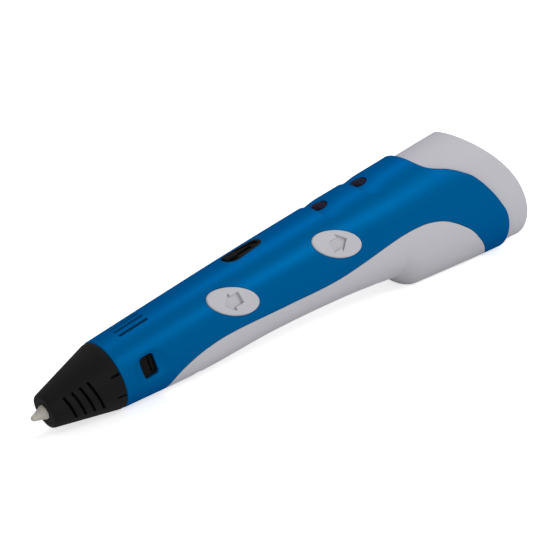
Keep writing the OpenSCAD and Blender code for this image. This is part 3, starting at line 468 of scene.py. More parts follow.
@dataclass(frozen=True)
class BodyForm:
    """Oval sections that shape cover, belly and tail, the same as the solids have but finely divided."""

    bench: Bench
    x: tuple[float, ...] = (26.1, 54.0, 81.0, 109.0, 130.493, 160.0)
    ridge_at: tuple[float, ...] = (10.8, 11.65, 12.25, 12.55, 12.6, 13.1)
    half_at: tuple[float, ...] = (10.8, 12.0, 13.0, 14.2, 15.3, 16.4)
    depth_at: tuple[float, ...] = (10.8, 14.0, 15.3, 18.4, 22.2)
    step_run: float = 7.0
    foot_sink: float = 1.0
    power: float = 2.1
    search_out: float = 30.0
    search_steps: int = 30

    def along(self, sizes: Sequence[float], x: Points) -> Points:
        """Smooth curve through the sizes at the sections.

        Args:
            sizes: One size for each of the first sections.
            x: Places along the pen.

        Returns:
            The size at each place.
        """
        at = np.array(self.x[: len(sizes)])
        size = np.array(sizes, float)
        last = len(size) - 1
        before = np.maximum(np.arange(last + 1) - 1, 0)
        after = np.minimum(np.arange(last + 1) + 1, last)
        slope = (size[after] - size[before]) / (at[after] - at[before])
        place = np.minimum(np.asarray(x, float), at[-1])
        i = np.clip(np.searchsorted(at, place, side="right") - 1, 0, last - 1)
        run = at[i + 1] - at[i]
        return hermite((place - at[i]) / run, size[i], slope[i] * run, size[i + 1], slope[i + 1] * run)

    def bench_depth(self, x: Points) -> Points:
        """Distance from the filament down to the bench."""
        return self.bench.base + self.bench.rise * np.asarray(x, float)

    def ridge(self, x: Points) -> Points:
        """Height of the ridge above the filament."""
        return self.along(self.ridge_at, x)

    def half(self, x: Points) -> Points:
        """Half of the width."""
        return self.along(self.half_at, x)

    def depth(self, x: Points) -> Points:
        """Depth of the underside, with the drop from the belly to the foot.

        Args:
            x: Places along the pen.

        Returns:
            The depth under the filament at each place.
        """
        x = np.asarray(x, float)
        step_x, step_depth = self.x[len(self.depth_at) - 1], self.depth_at[-1]
        belly = self.along(self.depth_at, np.minimum(x, step_x))
        foot = self.bench_depth(x) + self.foot_sink
        share = np.sin(np.radians(90 * np.clip((x - step_x) / self.step_run, 0, 1)))
        return np.where(x <= step_x, belly, step_depth + (foot - step_depth) * share)

    def mid(self, x: Points) -> Points:
        """Height of the widest line."""
        low = [*self.depth_at, float(self.depth(self.x[-1]))]
        return self.along([(r - d) / 2 for r, d in zip(self.ridge_at, low)], x)

    def point(self, x: Points, angle: Points, inset: Points) -> Points:
        """Points on the body's face or inside it.

        Args:
            x: Places along the pen.
            angle: Angles around the section in radians, zero is +y.
            inset: Distances in from the outer face.

        Returns:
            Points in the pen's frame.
        """
        x, angle, inset = np.broadcast_arrays(np.asarray(x, float), angle, inset)
        c, s = np.cos(angle), np.sin(angle)
        mid = self.mid(x)
        tall = np.where(s > 0, self.ridge(x) - mid, self.depth(x) + mid) - inset
        bend = 2 / self.power
        y = (self.half(x) - inset) * np.sign(c) * np.abs(c) ** bend
        low = inset / math.cos(math.radians(self.bench.pitch_deg)) - self.bench_depth(x)
        z = np.maximum(mid + tall * np.sign(s) * np.abs(s) ** bend, low)
        return np.stack([x, y, z], axis=-1)

    def swell(self, x: Points, y: Points) -> Points:
        """Share of the section's height that is left beside the filament."""
        return (1 - (np.abs(y) / self.half(x)) ** self.power) ** (1 / self.power)

    def roof(self, x: Points, y: Points) -> Points:
        """Height of the outer face over places beside the filament."""
        mid = self.mid(x)
        return mid + (self.ridge(x) - mid) * self.swell(x, y)

    def underside(self, x: Points, y: Points) -> Points:
        """Height of the outer face under places beside the filament."""
        mid = self.mid(x)
        return mid - (self.depth(x) + mid) * self.swell(x, y)

    def reach(self, x: Points, tilt_deg: float, up: Points, inset: float) -> Points:
        """Distance from the filament to the face, looking out on the button side.

        Args:
            x: Places along the pen.
            tilt_deg: How far the look is turned up from level.
            up: Offsets across the look.
            inset: Distance in from the outer face.

        Returns:
            The distance at each place.
        """
        t = math.radians(tilt_deg)
        x, up = np.broadcast_arrays(np.asarray(x, float), np.asarray(up, float))
        mid, half, ridge, depth = self.mid(x), self.half(x) - inset, self.ridge(x), self.depth(x)

        def outside(out: Points) -> Points:
            """Says whether a distance is past the face.

            Args:
                out: Distances from the filament along the look.

            Returns:
                True where the point is outside.
            """
            y = up * math.sin(t) - out * math.cos(t)
            rise = out * math.sin(t) + up * math.cos(t) - mid
            tall = np.where(rise > 0, ridge - mid, depth + mid) - inset
            return (np.abs(y) / half) ** self.power + (np.abs(rise) / tall) ** self.power > 1

        return halve(np.zeros(x.shape), np.full(x.shape, self.search_out), outside, self.search_steps)


def facing(x: Points, tilt_deg: float, up: Points, out: Points) -> Points:
    """Points seen from the button side.

    Args:
        x: Places along the pen.
        tilt_deg: How far the look is turned up from level.
        up: Offsets across the look.
        out: Distances from the filament along the look.

    Returns:
        Points in the pen's frame.
    """
    t = math.radians(tilt_deg)
    x, up, out = np.broadcast_arrays(np.asarray(x, float), up, out)
    y, z = up * math.sin(t) - out * math.cos(t), out * math.sin(t) + up * math.cos(t)
    return np.stack([x, y, z], axis=-1)


def smooth_curve(points: Outline, parts: int) -> Points:
    """Divides an outline with a smooth curve through its points.

    Args:
        points: Corners of the outline.
        parts: Divisions between two corners.

    Returns:
        The divided outline.
    """
    p = np.array(points, float)
    last = len(p) - 1
    made = []
    for i in range(last):
        leave = (p[i + 1] - p[max(i - 1, 0)]) / 2
        arrive = (p[min(i + 2, last)] - p[i]) / 2
        made += [hermite(share, p[i], leave, p[i + 1], arrive) for share in np.arange(parts) / parts]
    return np.array([*made, p[last]])


def grown(outline: Points, by: float) -> Points:
    """Moves a closed outline outwards along its normals.

    Args:
        outline: Corners in order.
        by: Distance, negative to shrink.

    Returns:
        The moved corners.
    """
    following = np.roll(outline, -1, 0)
    ahead, behind = following - outline, outline - np.roll(outline, 1, 0)
    ahead /= np.linalg.norm(ahead, axis=1)[:, None]
    behind /= np.linalg.norm(behind, axis=1)[:, None]
    along = ahead + behind
    along /= np.linalg.norm(along, axis=1)[:, None]
    normal = np.stack([along[:, 1], -along[:, 0]], axis=1)
    area = np.sum(outline[:, 0] * following[:, 1] - outline[:, 1] * following[:, 0])
    return outline + normal * by * (1 if area > 0 else -1)


def ellipse(half_long: float, half_short: float, count: int, slant_deg: float = 0.0) -> Points:
    """Draws an ellipse.

    Args:
        half_long: Half of its length.
        half_short: Half of its width.
        count: Corners around it.
        slant_deg: How far it is turned.

    Returns:
        The corners in order.
    """
    a = full_turn(count)
    s = math.radians(slant_deg)
    u, v = half_long * np.cos(a), half_short * np.sin(a)
    return np.stack([u * math.cos(s) - v * math.sin(s), u * math.sin(s) + v * math.cos(s)], axis=1)


def rounded(half_long: float, half_short: float, radius: float, rows: int = 10) -> Points:
    """Draws a box with round corners.

    Args:
        half_long: Half of the distance along between the middles of its corners.
        half_short: Half of the distance across between them.
        radius: Radius of the corners.
        rows: Points on each corner.

    Returns:
        The points in order.
    """
    made = []
    for turn, (i, k) in enumerate(((1, 1), (-1, 1), (-1, -1), (1, -1))):
        for a in np.radians(np.linspace(90 * turn, 90 * turn + 90, rows)):
            made.append((i * half_long + radius * math.cos(a), k * half_short + radius * math.sin(a)))
    return np.array(made)


def stadium(start: float, length: float, width: float, rows: int = 12) -> Points:
    """Draws a slot with round ends, along the pen.

    Args:
        start: Where it starts.
        length: Length over both ends.
        width: Width.
        rows: Points on each end.

    Returns:
        The points in order.
    """
    r = width / 2
    a = np.radians(np.linspace(-90, 90, rows))
    right = np.stack([start + length - r + r * np.cos(a), r * np.sin(a)], axis=1)
    left = np.stack([start + r - r * np.cos(a), -r * np.sin(a)], axis=1)
    return np.vstack([right, left])


def lifted(outline: Points, height: float | Points) -> Points:
    """Puts a flat outline at a height."""
    return np.stack([outline[:, 0], outline[:, 1], np.broadcast_to(height, len(outline))], axis=1)


def mesh_object(name: str, points: Points, faces: Sequence[Sequence[int]]) -> bpy.types.Object:
    """Makes a mesh whose faces point outwards.

    Args:
        name: Name of the object.
        points: Places of the vertices in metres.
        faces: Vertex places of each face.

    Returns:
        The object, linked to the scene.
    """
    mesh = bpy.data.meshes.new(name)
    places = [tuple(p) for p in np.asarray(points, float).reshape(-1, 3)]
    mesh.from_pydata(places, [], [list(f) for f in faces])
    shape = bmesh.new()
    shape.from_mesh(mesh)
    bmesh.ops.recalc_face_normals(shape, faces=shape.faces)
    shape.to_mesh(mesh)
    shape.free()
    made = bpy.data.objects.new(name, mesh)
    bpy.context.scene.collection.objects.link(made)
    return made


def ring_mesh(name: str, rows: Points, closed: bool) -> bpy.types.Object:
    """Makes a mesh from rings of points, closed into a loop or capped at both ends.

    Args:
        name: Name of the object.
        rows: Points in metres as rings by places around by three.
        closed: True where the last ring joins the first, as in a tube's wall.

    Returns:
        The object.
    """
    count, around = rows.shape[:2]
    faces: list[tuple[int, ...]] = []
    for k in range(count if closed else count - 1):
        this, following = k * around, (k + 1) % count * around
        for i in range(around):
            beside = (i + 1) % around
            faces.append((this + i, this + beside, following + beside, following + i))
    if not closed:
        faces += [tuple(range(around)), tuple(range((count - 1) * around, count * around))]
    return mesh_object(name, rows, faces)


def through(name: str, outline: Points, bench: Bench, reach: float = 60.0) -> bpy.types.Object:
    """Pushes a side outline through the whole width as a cutter.

    Args:
        name: Name of the cutter.
        outline: Corners in [x, z].
        bench: Where the pen lies.
        reach: How far it goes to either side.

    Returns:
        The cutter.
    """
    flat = np.stack([outline[:, 0], np.zeros(len(outline)), outline[:, 1]], axis=1)
    side = np.array([0, reach, 0])
    return ring_mesh(name, bench.place(np.stack([flat - side, flat + side])), closed=False)


def standing(
    name: str, outline: Points, bench: Bench, x: float, tilt_deg: float, span: Pair
) -> bpy.types.Object:
    """Stands a prism on the body, looking out at a tilt.

    Args:
        name: Name of the prism.
        outline: Corners as [along the pen, up across the look].
        bench: Where the pen lies.
        x: Place along the pen.
        tilt_deg: How far the look is turned up from level.
        span: Where the prism starts and ends, from the filament.

    Returns:
        The prism.
    """
    rings = [facing(x + outline[:, 0], tilt_deg, outline[:, 1], out) for out in span]
    return ring_mesh(name, bench.place(np.stack(rings)), closed=False)


def turned(name: str, profile: Outline, around: int, bench: Bench) -> bpy.types.Object:
    """Turns a closed profile around the filament.

    Args:
        name: Name of the piece.
        profile: Corners as [x, radius], the last joins the first.
        around: Divisions around.
        bench: Where the pen lies.

    Returns:
        The piece on the bench.
    """
    a = full_turn(around)
    rings = [np.stack([np.full(around, x), r * np.cos(a), r * np.sin(a)], axis=1) for x, r in profile]
    return ring_mesh(name, bench.place(np.stack(rings)), closed=True)


def settle(piece: bpy.types.Object) -> None:
    """Turns a piece's modifiers into its plain mesh.

    Args:
        piece: Piece that loses its modifiers.
    """
    mesh = bpy.data.meshes.new_from_object(piece.evaluated_get(bpy.context.evaluated_depsgraph_get()))
    old = piece.data
    piece.modifiers.clear()
    piece.data = mesh
    mesh.name = piece.name
    bpy.data.meshes.remove(old)


def carve(
    target: bpy.types.Object, cutters: Sequence[bpy.types.Object], operation: str = "DIFFERENCE"
) -> None:
    """Cuts a piece with closed cutters, which are used up.

    Args:
        target: Piece that is cut.
        cutters: Closed meshes.
        operation: What the cut keeps, in Blender's words.
    """
    for cutter in cutters:
        cut = target.modifiers.new("cut", "BOOLEAN")
        cut.operation = operation
        cut.solver = "MANIFOLD"
        cut.object = cutter
        settle(target)
        data = cutter.data
        bpy.data.objects.remove(cutter)
        bpy.data.meshes.remove(data)


def new_tree(name: str, inputs: dict[str, str]) -> bpy.types.NodeTree:
    """Makes a Geometry Nodes tree that has its sockets but no nodes.

    Args:
        name: Name of the tree.
        inputs: Kinds of its inputs by name, apart from the geometry.

    Returns:
        The tree.
    """
    tree = bpy.data.node_groups.new(name, "GeometryNodeTree")
    for label, kind in {"Geometry": "Geometry", **inputs}.items():
        tree.interface.new_socket(label, in_out="INPUT", socket_type=f"NodeSocket{kind}")
    tree.interface.new_socket("Geometry", in_out="OUTPUT", socket_type="NodeSocketGeometry")
    return tree


def end_tree(
    tree: bpy.types.NodeTree, original: bpy.types.NodeSocket, places: Sockets, finish: Sockets
) -> None:
    """Ends a tree with real copies of an object on points.

    Args:
        tree: Tree that gets its last nodes.
        original: Input with the object that is copied.
        places: Sockets with the points, and with the turn and size of the copies.
        finish: Socket with the material, none for cutters.
    """
    base = add_node(tree, "GeometryNodeObjectInfo", links={"Object": original}).outputs["Geometry"]
    copies = add_node(tree, "GeometryNodeInstanceOnPoints", links={"Instance": base, **places})
    real = add_node(tree, "GeometryNodeRealizeInstances", links={"Geometry": copies.outputs[0]})
    dressed = add_node(tree, "GeometryNodeSetMaterial", links={"Geometry": real.outputs[0], **finish})
    add_node(tree, "NodeGroupOutput", links={"Geometry": dressed.outputs[0]})


def lay_out(holder: bpy.types.Object, tree: bpy.types.NodeTree, values: dict[str, Any]) -> None:
    """Runs a tree on an object and keeps the result as its plain mesh.

    Args:
        holder: Object that gets the result.
        tree: Tree with named inputs.
        values: Values of the inputs by name.
    """
    layout = holder.modifiers.new(tree.name, "NODES")
    layout.node_group = tree
    for item in tree.interface.items_tree:
        if item.in_out == "INPUT" and item.name in values:
            layout[item.identifier] = values[item.name]
    settle(holder)


def finish_piece(
    piece: bpy.types.Object, material: bpy.types.Material, body: str, node: str | None
) -> None:
    """Shades a piece, gives it its material and lets it stand for its node.

    Args:
        piece: Finished piece, in place.
        material: Its finish.
        body: Body that it moves with.
        node: Node that it replaces, none for added trim.
    """
    piece.data.materials.clear()
    piece.data.materials.append(material)
    piece.data.shade_smooth()
    piece.data.set_sharp_from_angle(angle=math.radians(SHARP_DEG))
    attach(piece, body)
    if node:
        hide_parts(node)
    LOG.info("%s: %d faces, rides on %s", piece.name, len(piece.data.polygons), body)


class SubAssembly(ABC):
    """Pieces of the pen that are built and dressed together."""

    @abstractmethod
    def dress(self, finishes: Finishes) -> None:
        """Builds the pieces and gives them their finishes.

        Args:
            finishes: Where the materials come from.
        """


@dataclass(frozen=True)
class Parting:
    """Side outlines in [x, z] where the shells meet."""

    belly_edge: Outline = (
        (38.0, -13.26),
        (45.0, -6.3),
        (60.0, -3.3),
        (84.0, -5.15),
        (105.0, -6.6),
        (131.49, -4.4),
        (145.49, -6.7),
        (155.7, -14.2),
        (161.0, -21.4),
        (164.8, -27.9),
        (177.0, -50.0),
    )
    cover_edge: Outline = (
        (146.6, 18.1),
        (147.6, 13.1),
        (149.6, 9.82),
        (152.51, 7.89),
        (156.48, 6.05),
        (160.7, 3.13),
        (164.9, -1.09),
        (171.0, -12.05),
        (174.5, -23.28),
        (174.5, -50.0),
    )
    belly_parts: int = 12
    cover_parts: int = 16
    depth: float = 50.0
    rim_x: float = 175.874
    rim_mid: float = -9.356
    rim_tall: float = 21.106
    rim_slope: float = 0.385
    rim_bow: float = 5.0

    def belly_outline(self) -> Points:
        """Closed outline of the belly."""
        front_x = self.belly_edge[0][0]
        return np.vstack([smooth_curve(self.belly_edge, self.belly_parts), [(front_x, -self.depth)]])

    def cover_x(self, z: Points) -> Points:
        """Finds the rear end of the cover.

        Args:
            z: Heights.

        Returns:
            The end's place along the pen at each height.
        """
        edge = smooth_curve(self.cover_edge, self.cover_parts)
        order = np.argsort(edge[:, 1])
        return np.interp(z, edge[order, 1], edge[order, 0])

    def rim(self, z: Points) -> Points:
        """Rear end of the tail at each height."""
        share = (z - self.rim_mid) / self.rim_tall
        return self.rim_x - self.rim_slope * (z - self.rim_mid) + self.rim_bow * (1 - share**2)


class Mark(Enum):
    """Which way a button moves the filament, as the side its arrow points to."""

    EXTRUDE = -1
    RETRACT = 1


@dataclass(frozen=True)
class ButtonSpot:
    """Place of one oval button on the cover."""

    mark: Mark
    x: float
    up: float
    tilt_deg: float = 23.4
    half_long: float = 8.55
    half_short: float = 4.28
    slant_deg: float = -30.0
    gap: float = 0.1


BUTTONS = (ButtonSpot(Mark.EXTRUDE, 68.15, -0.1), ButtonSpot(Mark.RETRACT, 107.9, -1.5))
SCREW_PLACES: Outline = ((52.0, -5.0), (52.0, 5.0), (122.0, -5.0), (122.0, 5.0))


@dataclass(frozen=True)
class SlotRow:
    """A row of equal slots that Geometry Nodes lay out as one cutter, along the pen or around it."""

    name: str
    count: int
    pitch: float = 0.0
    step_deg: float = 0.0

    def tree(self) -> bpy.types.NodeTree:
        """Builds the tree that repeats a slot.

        Returns:
            Tree with the inputs Slot, Count, Pitch and Step.
        """
        tree = new_tree(self.name, {"Slot": "Object", "Count": "Int", "Pitch": "Float", "Step": "Float"})
        given = add_node(tree, "NodeGroupInput").outputs
        index = add_node(tree, "GeometryNodeInputIndex").outputs[0]
        last = add_node(tree, "ShaderNodeMath", MINUS, {1: 1.0}, {0: given["Count"]}).outputs[0]
        middle = add_node(tree, "ShaderNodeMath", TIMES, {1: 0.5}, {0: last}).outputs[0]
        off = add_node(tree, "ShaderNodeMath", MINUS, links={0: index, 1: middle}).outputs[0]
        angle = add_node(tree, "ShaderNodeMath", TIMES, links={0: off, 1: given["Step"]}).outputs[0]
        along = add_node(tree, "ShaderNodeMath", TIMES, links={0: index, 1: given["Pitch"]}).outputs[0]
        place = add_node(tree, "ShaderNodeCombineXYZ", links={"X": along}).outputs[0]
        turn = add_node(tree, "ShaderNodeCombineXYZ", links={"X": angle}).outputs[0]
        spots = add_node(tree, "GeometryNodePoints", links={"Count": given["Count"], "Position": place})
        end_tree(tree, given["Slot"], {"Points": spots.outputs[0], "Rotation": turn}, {})
        return tree

    def cutter(self, slot: bpy.types.Object, bench: Bench) -> bpy.types.Object:
        """Makes the joint cutter of all the slots.

        Args:
            slot: Cutter of the first slot in metres in the pen's frame, which is used up.
            bench: Where the pen lies.

        Returns:
            The cutter, on the bench.
        """
        holder = mesh_object(f"{self.name}_cutter", np.zeros((1, 3)), [])
        step = math.radians(self.step_deg)
        values = {"Slot": slot, "Count": self.count, "Pitch": self.pitch * MM, "Step": step}
        lay_out(holder, self.tree(), values)
        bpy.data.objects.remove(slot)
        points = np.array([v.co for v in holder.data.vertices]) / MM
        for vertex, point in zip(holder.data.vertices, bench.place(points)):
            vertex.co = point
        return holder


@dataclass(frozen=True)
class RidgeVents:
    """Slots along the ridge in front, side by side, cut over the fan."""

    start: float = 32.6
    length: float = 10.6
    width: float = 1.0
    count: int = 4
    step_deg: float = 12.8
    span: Pair = (5.0, 20.0)

    def cutter(self, bench: Bench) -> bpy.types.Object:
        """Makes the joint cutter of the vents.

        Args:
            bench: Where the pen lies.

        Returns:
            The cutter, on the bench.
        """
        outline = stadium(self.start, self.length, self.width)
        rings = np.stack([lifted(outline, z) for z in self.span]) * MM
        slot = ring_mesh("vent_slot", rings, closed=False)
        return SlotRow("ridge_vents", self.count, step_deg=self.step_deg).cutter(slot, bench)


@dataclass(frozen=True)
class NoseCone(SubAssembly):
    """Black vented cone in front, with leaning vent slots on its sides and slits beside its snap tabs."""

    bench: Bench
    front_x: float = 4.5
    front_r: float = 5.3
    front_roll: float = 0.35
    roll_rows: int = 6
    roll_sweep_deg: float = 75.0
    roll_gap: float = 0.2
    lip_x: float = 24.9
    lip_r: float = 10.74
    rear_x: float = 26.0
    rear_r: float = 10.8
    hole_r: float = 2.3
    hole_edge: float = 0.15
    wall: float = 1.4
    collar_r: Pair = (8.7, 7.3)
    collar_x: float = 31.1
    around: int = 192
    flank_rows: int = 24
    sides_deg: Pair = (0.0, 180.0)
    slot_start: float = 9.5
    slot_width: float = 0.85
    slot_count: int = 4
    slot_pitch: float = 2.65
    slot_span_deg: float = 68.0
    slot_lean_deg: float = 12.0
    slot_reach: Pair = (3.0, 14.0)
    slot_rows: int = 40
    tab_deg: float = 19.0
    slit_len: float = 3.0
    slit_over: float = 0.2
    slit_width: float = 0.7
    slit_reach: Pair = (9.1, 12.0)

    def flank_r(self, x: float) -> float:
        """Radius of the cone's side."""
        return self.front_r + (self.lip_r - self.front_r) * (x - self.front_x) / (self.lip_x - self.front_x)

    def slots(self, middle_deg: float) -> bpy.types.Object:
        """Makes the cutter of the vent slots on one side.

        Args:
            middle_deg: Angle of the slots' middle around the filament, zero is +y.

        Returns:
            The cutter, on the bench.
        """
        inner, outer = self.slot_reach
        lean = math.tan(math.radians(self.slot_lean_deg))
        rows = []
        for a in np.radians(np.linspace(-0.5, 0.5, self.slot_rows) * self.slot_span_deg + middle_deg):
            section = []
            for side, r in ((0, inner), (1, inner), (1, outer), (0, outer)):
                x = self.slot_start + side * self.slot_width - lean * r * math.sin(a)
                section.append((x, r * math.cos(a), r * math.sin(a)))
            rows.append(section)
        slot = ring_mesh("cone_slot", np.array(rows) * MM, closed=False)
        return SlotRow("cone_slots", self.slot_count, self.slot_pitch).cutter(slot, self.bench)

    def slit(self, angle_deg: float) -> bpy.types.Object:
        """Makes the cutter of one slit beside a snap tab.

        Args:
            angle_deg: Angle of the slit around the filament, zero is +y.

        Returns:
            The cutter, on the bench.
        """
        a = math.radians(angle_deg)
        inner, outer = self.slit_reach
        half = self.slit_width / 2
        flat = [(inner, -half), (outer, -half), (outer, half), (inner, half)]
        rows = [
            [(x, r * math.cos(a) - s * math.sin(a), r * math.sin(a) + s * math.cos(a)) for r, s in flat]
            for x in (self.rear_x - self.slit_len, self.rear_x + self.slit_over)
        ]
        return ring_mesh("tab_slit", self.bench.place(np.array(rows)), closed=False)

    def build(self) -> bpy.types.Object:
        """Builds the cone.

        Returns:
            The cone on the bench.
        """
        outer, inner = self.collar_r
        front_x, wall_x = self.front_x, self.front_x + self.wall
        profile = [(front_x + self.hole_edge, self.hole_r), (front_x, self.hole_r + self.hole_edge)]
        for ahead, under in rolled_edge(self.front_roll, self.roll_rows, self.roll_sweep_deg):
            profile.append((front_x + ahead, self.front_r - under))
        for x in np.linspace(front_x + self.front_roll + self.roll_gap, self.lip_x, self.flank_rows):
            profile.append((x, self.flank_r(x)))
        profile += [(self.rear_x, self.rear_r), (self.rear_x, outer), (self.collar_x, outer)]
        profile += [(self.collar_x, inner), (self.rear_x, inner)]
        profile += [(wall_x, self.front_r - self.wall), (wall_x, self.hole_r)]
        piece = turned("nose_cone_vented", profile, self.around, self.bench)
        cutters = [self.slots(side) for side in self.sides_deg]
        cutters += [self.slit(side + k * self.tab_deg) for side in self.sides_deg for k in (-1, 1)]
        carve(piece, cutters)
        return piece

    def dress(self, finishes: Finishes) -> None:
        """Builds the cone in its black nylon."""
        nylon = finishes.get(Stock.BLACK_NYLON)
        finish_piece(self.build(), nylon, "housing", "nose_cone")


@dataclass(frozen=True)
class NozzleTip(SubAssembly):
    """Fired ceramic tip: a rounded end, a slightly hollow flank and a bored shank."""

    bench: Bench
    tip_r: float = 0.9
    tip_sweep_deg: Pair = (26.0, 72.0)
    tip_rows: int = 7
    flank_rows: int = 12
    root_x: float = 4.1
    root_r: float = 2.18
    root_edge: Pair = (0.15, 0.03)
    shoulder_x: float = 6.1
    shank_r: float = 1.6
    shank_end: float = 10.6
    hole_x: float = 0.06
    hole_r: float = 0.3
    bore_r: float = 1.0
    bore_x: float = 4.5
    hollow: float = 0.08
    around: int = 96

    def build(self) -> bpy.types.Object:
        """Builds the tip.

        Returns:
            The tip on the bench.
        """
        profile = [(self.hole_x, self.hole_r)]
        for a in np.radians(np.linspace(*self.tip_sweep_deg, self.tip_rows)):
            profile.append((self.tip_r * (1 - math.cos(a)), self.tip_r * math.sin(a)))
        x0, r0 = profile[-1]
        for s in np.linspace(0, 1, self.flank_rows)[1:]:
            bend = self.hollow * math.sin(math.pi * s)
            profile.append((x0 + (self.root_x - x0) * s, r0 + (self.root_r - r0) * s - bend))
        edge_x, edge_r = self.root_x + self.root_edge[0], self.root_r + self.root_edge[1]
        profile += [(edge_x, edge_r), (self.shoulder_x, edge_r), (self.shoulder_x, self.shank_r)]
        profile += [(self.shank_end, self.shank_r), (self.shank_end, self.bore_r)]
        profile += [(self.bore_x, self.bore_r), (self.bore_x, self.hole_r)]
        return turned("ceramic_nozzle_fired", profile, self.around, self.bench)

    def dress(self, finishes: Finishes) -> None:
        """Builds the tip in its fired alumina."""
        finish_piece(self.build(), finishes.get(Stock.ALUMINA), "housing", "ceramic_nozzle")


@dataclass(frozen=True)
class Cover(SubAssembly):
    """Blue outer cover with a rolled rear edge and the openings for all the controls."""

    form: BodyForm
    parting: Parting
    around: int = 192
    front_x: float = 26.1
    front_gap: float = 1.0
    even_x: float = 140.0
    even_rows: int = 116
    rear_rows: int = 30
    search_x: float = 180.0
    search_steps: int = 40
    wall: float = 2.0
    lap_wall: float = 1.15
    lap_x: float = 142.3
    rear_roll: float = 0.8
    front_roll: float = 0.35
    inner_rows: int = 30
    roll_rows: int = 5
    cut_span: Pair = (4.0, 30.0)
    oval_around: int = 120
    led_x: tuple[float, ...] = (113.8, 130.4)
    led_hole_r: float = 2.7
    led_around: int = 64
    well_front: float = 3.5
    well_run: float = 5.3
    well_depth: float = 1.3
    well_half: float = 9.5
    well_corner: float = 4.0
    well_rows: int = 16
    well_floor_r: float = 17.3
    well_around: int = 256
    slide_x: float = 78.6
    slide_len: float = 8.2
    slide_r: Pair = (3.4, 2.7)
    slide_rows: tuple[int, int] = (40, 24)
    track_r: Pair = (3.4, 1.9)
    mode_x: float = 35.5
    mode_tilt_deg: float = 3.2
    mode_size: Pair = (5.0, 6.8)
    mode_corner: float = 1.2
    mode_dish: float = 1.5
    mode_span: Pair = (2.0, 20.0)
    scoop_size: tuple[float, float, float] = (10.9, 13.0, 10.0)
    scoop_around: int = 240
    scoop_rows: int = 130
    scoop_pole_deg: float = 0.8

    def rear_x(self, angle: Points) -> Points:
        """Finds the rear end of the cover, where its face meets the side outline.

        Args:
            angle: Angles around the section in radians, zero is +y.

        Returns:
            The end's place along the pen at each angle.
        """

        def behind(x: Points) -> Points:
            """Says whether a place is behind the side outline."""
            return x > self.parting.cover_x(self.form.point(x, angle, 0.0)[..., 2])

        low, high = np.full(angle.shape, self.even_x), np.full(angle.shape, self.search_x)
        return halve(low, high, behind, self.search_steps)

    def wall_rows(self) -> Points:
        """Rings around the wall: out along the face, round the rear edge and back inside.

        Returns:
            Points of the rings in the pen's frame.
        """
        angle = full_turn(self.around)
        rear = self.rear_x(angle)
        rear_run = rear - self.rear_roll - self.even_x
        front_edge = rolled_edge(self.front_roll, self.roll_rows)
        rear_edge = rolled_edge(self.rear_roll, self.roll_rows)[1:]
        rows: list[tuple[float | Points, float]] = []
        rows += [(self.front_x + ahead, under) for ahead, under in front_edge]
        rows += [(x, 0.0) for x in np.linspace(self.front_x + self.front_gap, self.even_x, self.even_rows)]
        rows += [(self.even_x + rear_run * share, 0.0) for share in np.linspace(0, 1, self.rear_rows)[1:]]
        rows += [(rear - short, under) for under, short in rear_edge]
        for share in np.linspace(1, 0, self.inner_rows // 2):
            rows.append((self.lap_x + (rear - self.lap_x) * share, self.lap_wall))
        rows += [(x, self.wall) for x in np.linspace(self.lap_x, self.front_x, self.inner_rows)]
        return np.stack([self.form.point(x, angle, inset) for x, inset in rows])

    def well(self, x: float) -> list[bpy.types.Object]:
        """Makes the cutters of a light's scooped well and of the hole in its floor.

        Args:
            x: Place of the light along the pen.

        Returns:
            The scoop, steep in front with a floor that ramps up to the tail, and the hole.
        """
        bench, a = self.form.bench, full_turn(self.well_around)
        front, rear = self.well_corner - self.well_front, self.well_run + self.well_corner
        side = self.well_half - self.well_corner
        outline = rounded((rear - front) / 2, side, self.well_corner, self.well_rows)
        outline += np.array([(rear + front) / 2, 0.0])
        scoop = standing("well", outline, bench, x, RIDGE_DEG, self.cut_span)
        ramp = math.atan(self.well_depth / (self.well_front + self.well_run))
        low = float(self.form.ridge(x)) - self.well_depth
        up = self.well_floor_r * (np.cos(a) - 1)
        rings = []
        for along in (-self.well_half, 2 * self.well_half):
            place = x - self.well_front + along * math.cos(ramp) - up * math.sin(ramp)
            height = low + along * math.sin(ramp) + up * math.cos(ramp)
            rings.append(np.stack([place, self.well_floor_r * np.sin(a), height], axis=1))
        carve(scoop, [ring_mesh("well_floor", bench.place(np.stack(rings)), closed=False)])
        circle = ellipse(self.led_hole_r, self.led_hole_r, self.led_around)
        return [scoop, standing("led_hole", circle, bench, x, RIDGE_DEG, self.cut_span)]

    def teardrop(self, radii: Pair) -> Points:
        """Draws the outline of the speed slide.

        Args:
            radii: Its radii in front and behind.

        Returns:
            The points in order.
        """
        wide, narrow = radii
        lean = math.asin((wide - narrow) / self.slide_len)
        front = np.linspace(math.pi / 2 - lean, 3 * math.pi / 2 + lean, self.slide_rows[0])
        rear = np.linspace(-math.pi / 2 + lean, math.pi / 2 - lean, self.slide_rows[1])
        ends = ((self.slide_x, wide, front), (self.slide_x + self.slide_len, narrow, rear))
        return np.vstack([np.stack([x + r * np.cos(a), r * np.sin(a)], axis=1) for x, r, a in ends])

    def mode_window(self, shrink: float) -> Points:
        """Draws the outline of the mode switch's window.

        Args:
            shrink: How much smaller it is made all round.

        Returns:
            The points in order.
        """
        corner = self.mode_corner
        half_long, half_tall = self.mode_size[0] / 2 - corner, self.mode_size[1] / 2 - corner
        return rounded(half_long, half_tall, corner - shrink)

    def mode_floor(self) -> float:
        """Distance from the filament to the floor of the mode switch's thumb scoop."""
        return float(self.form.reach(self.mode_x, self.mode_tilt_deg, 0.0, 0.0)) - self.mode_dish

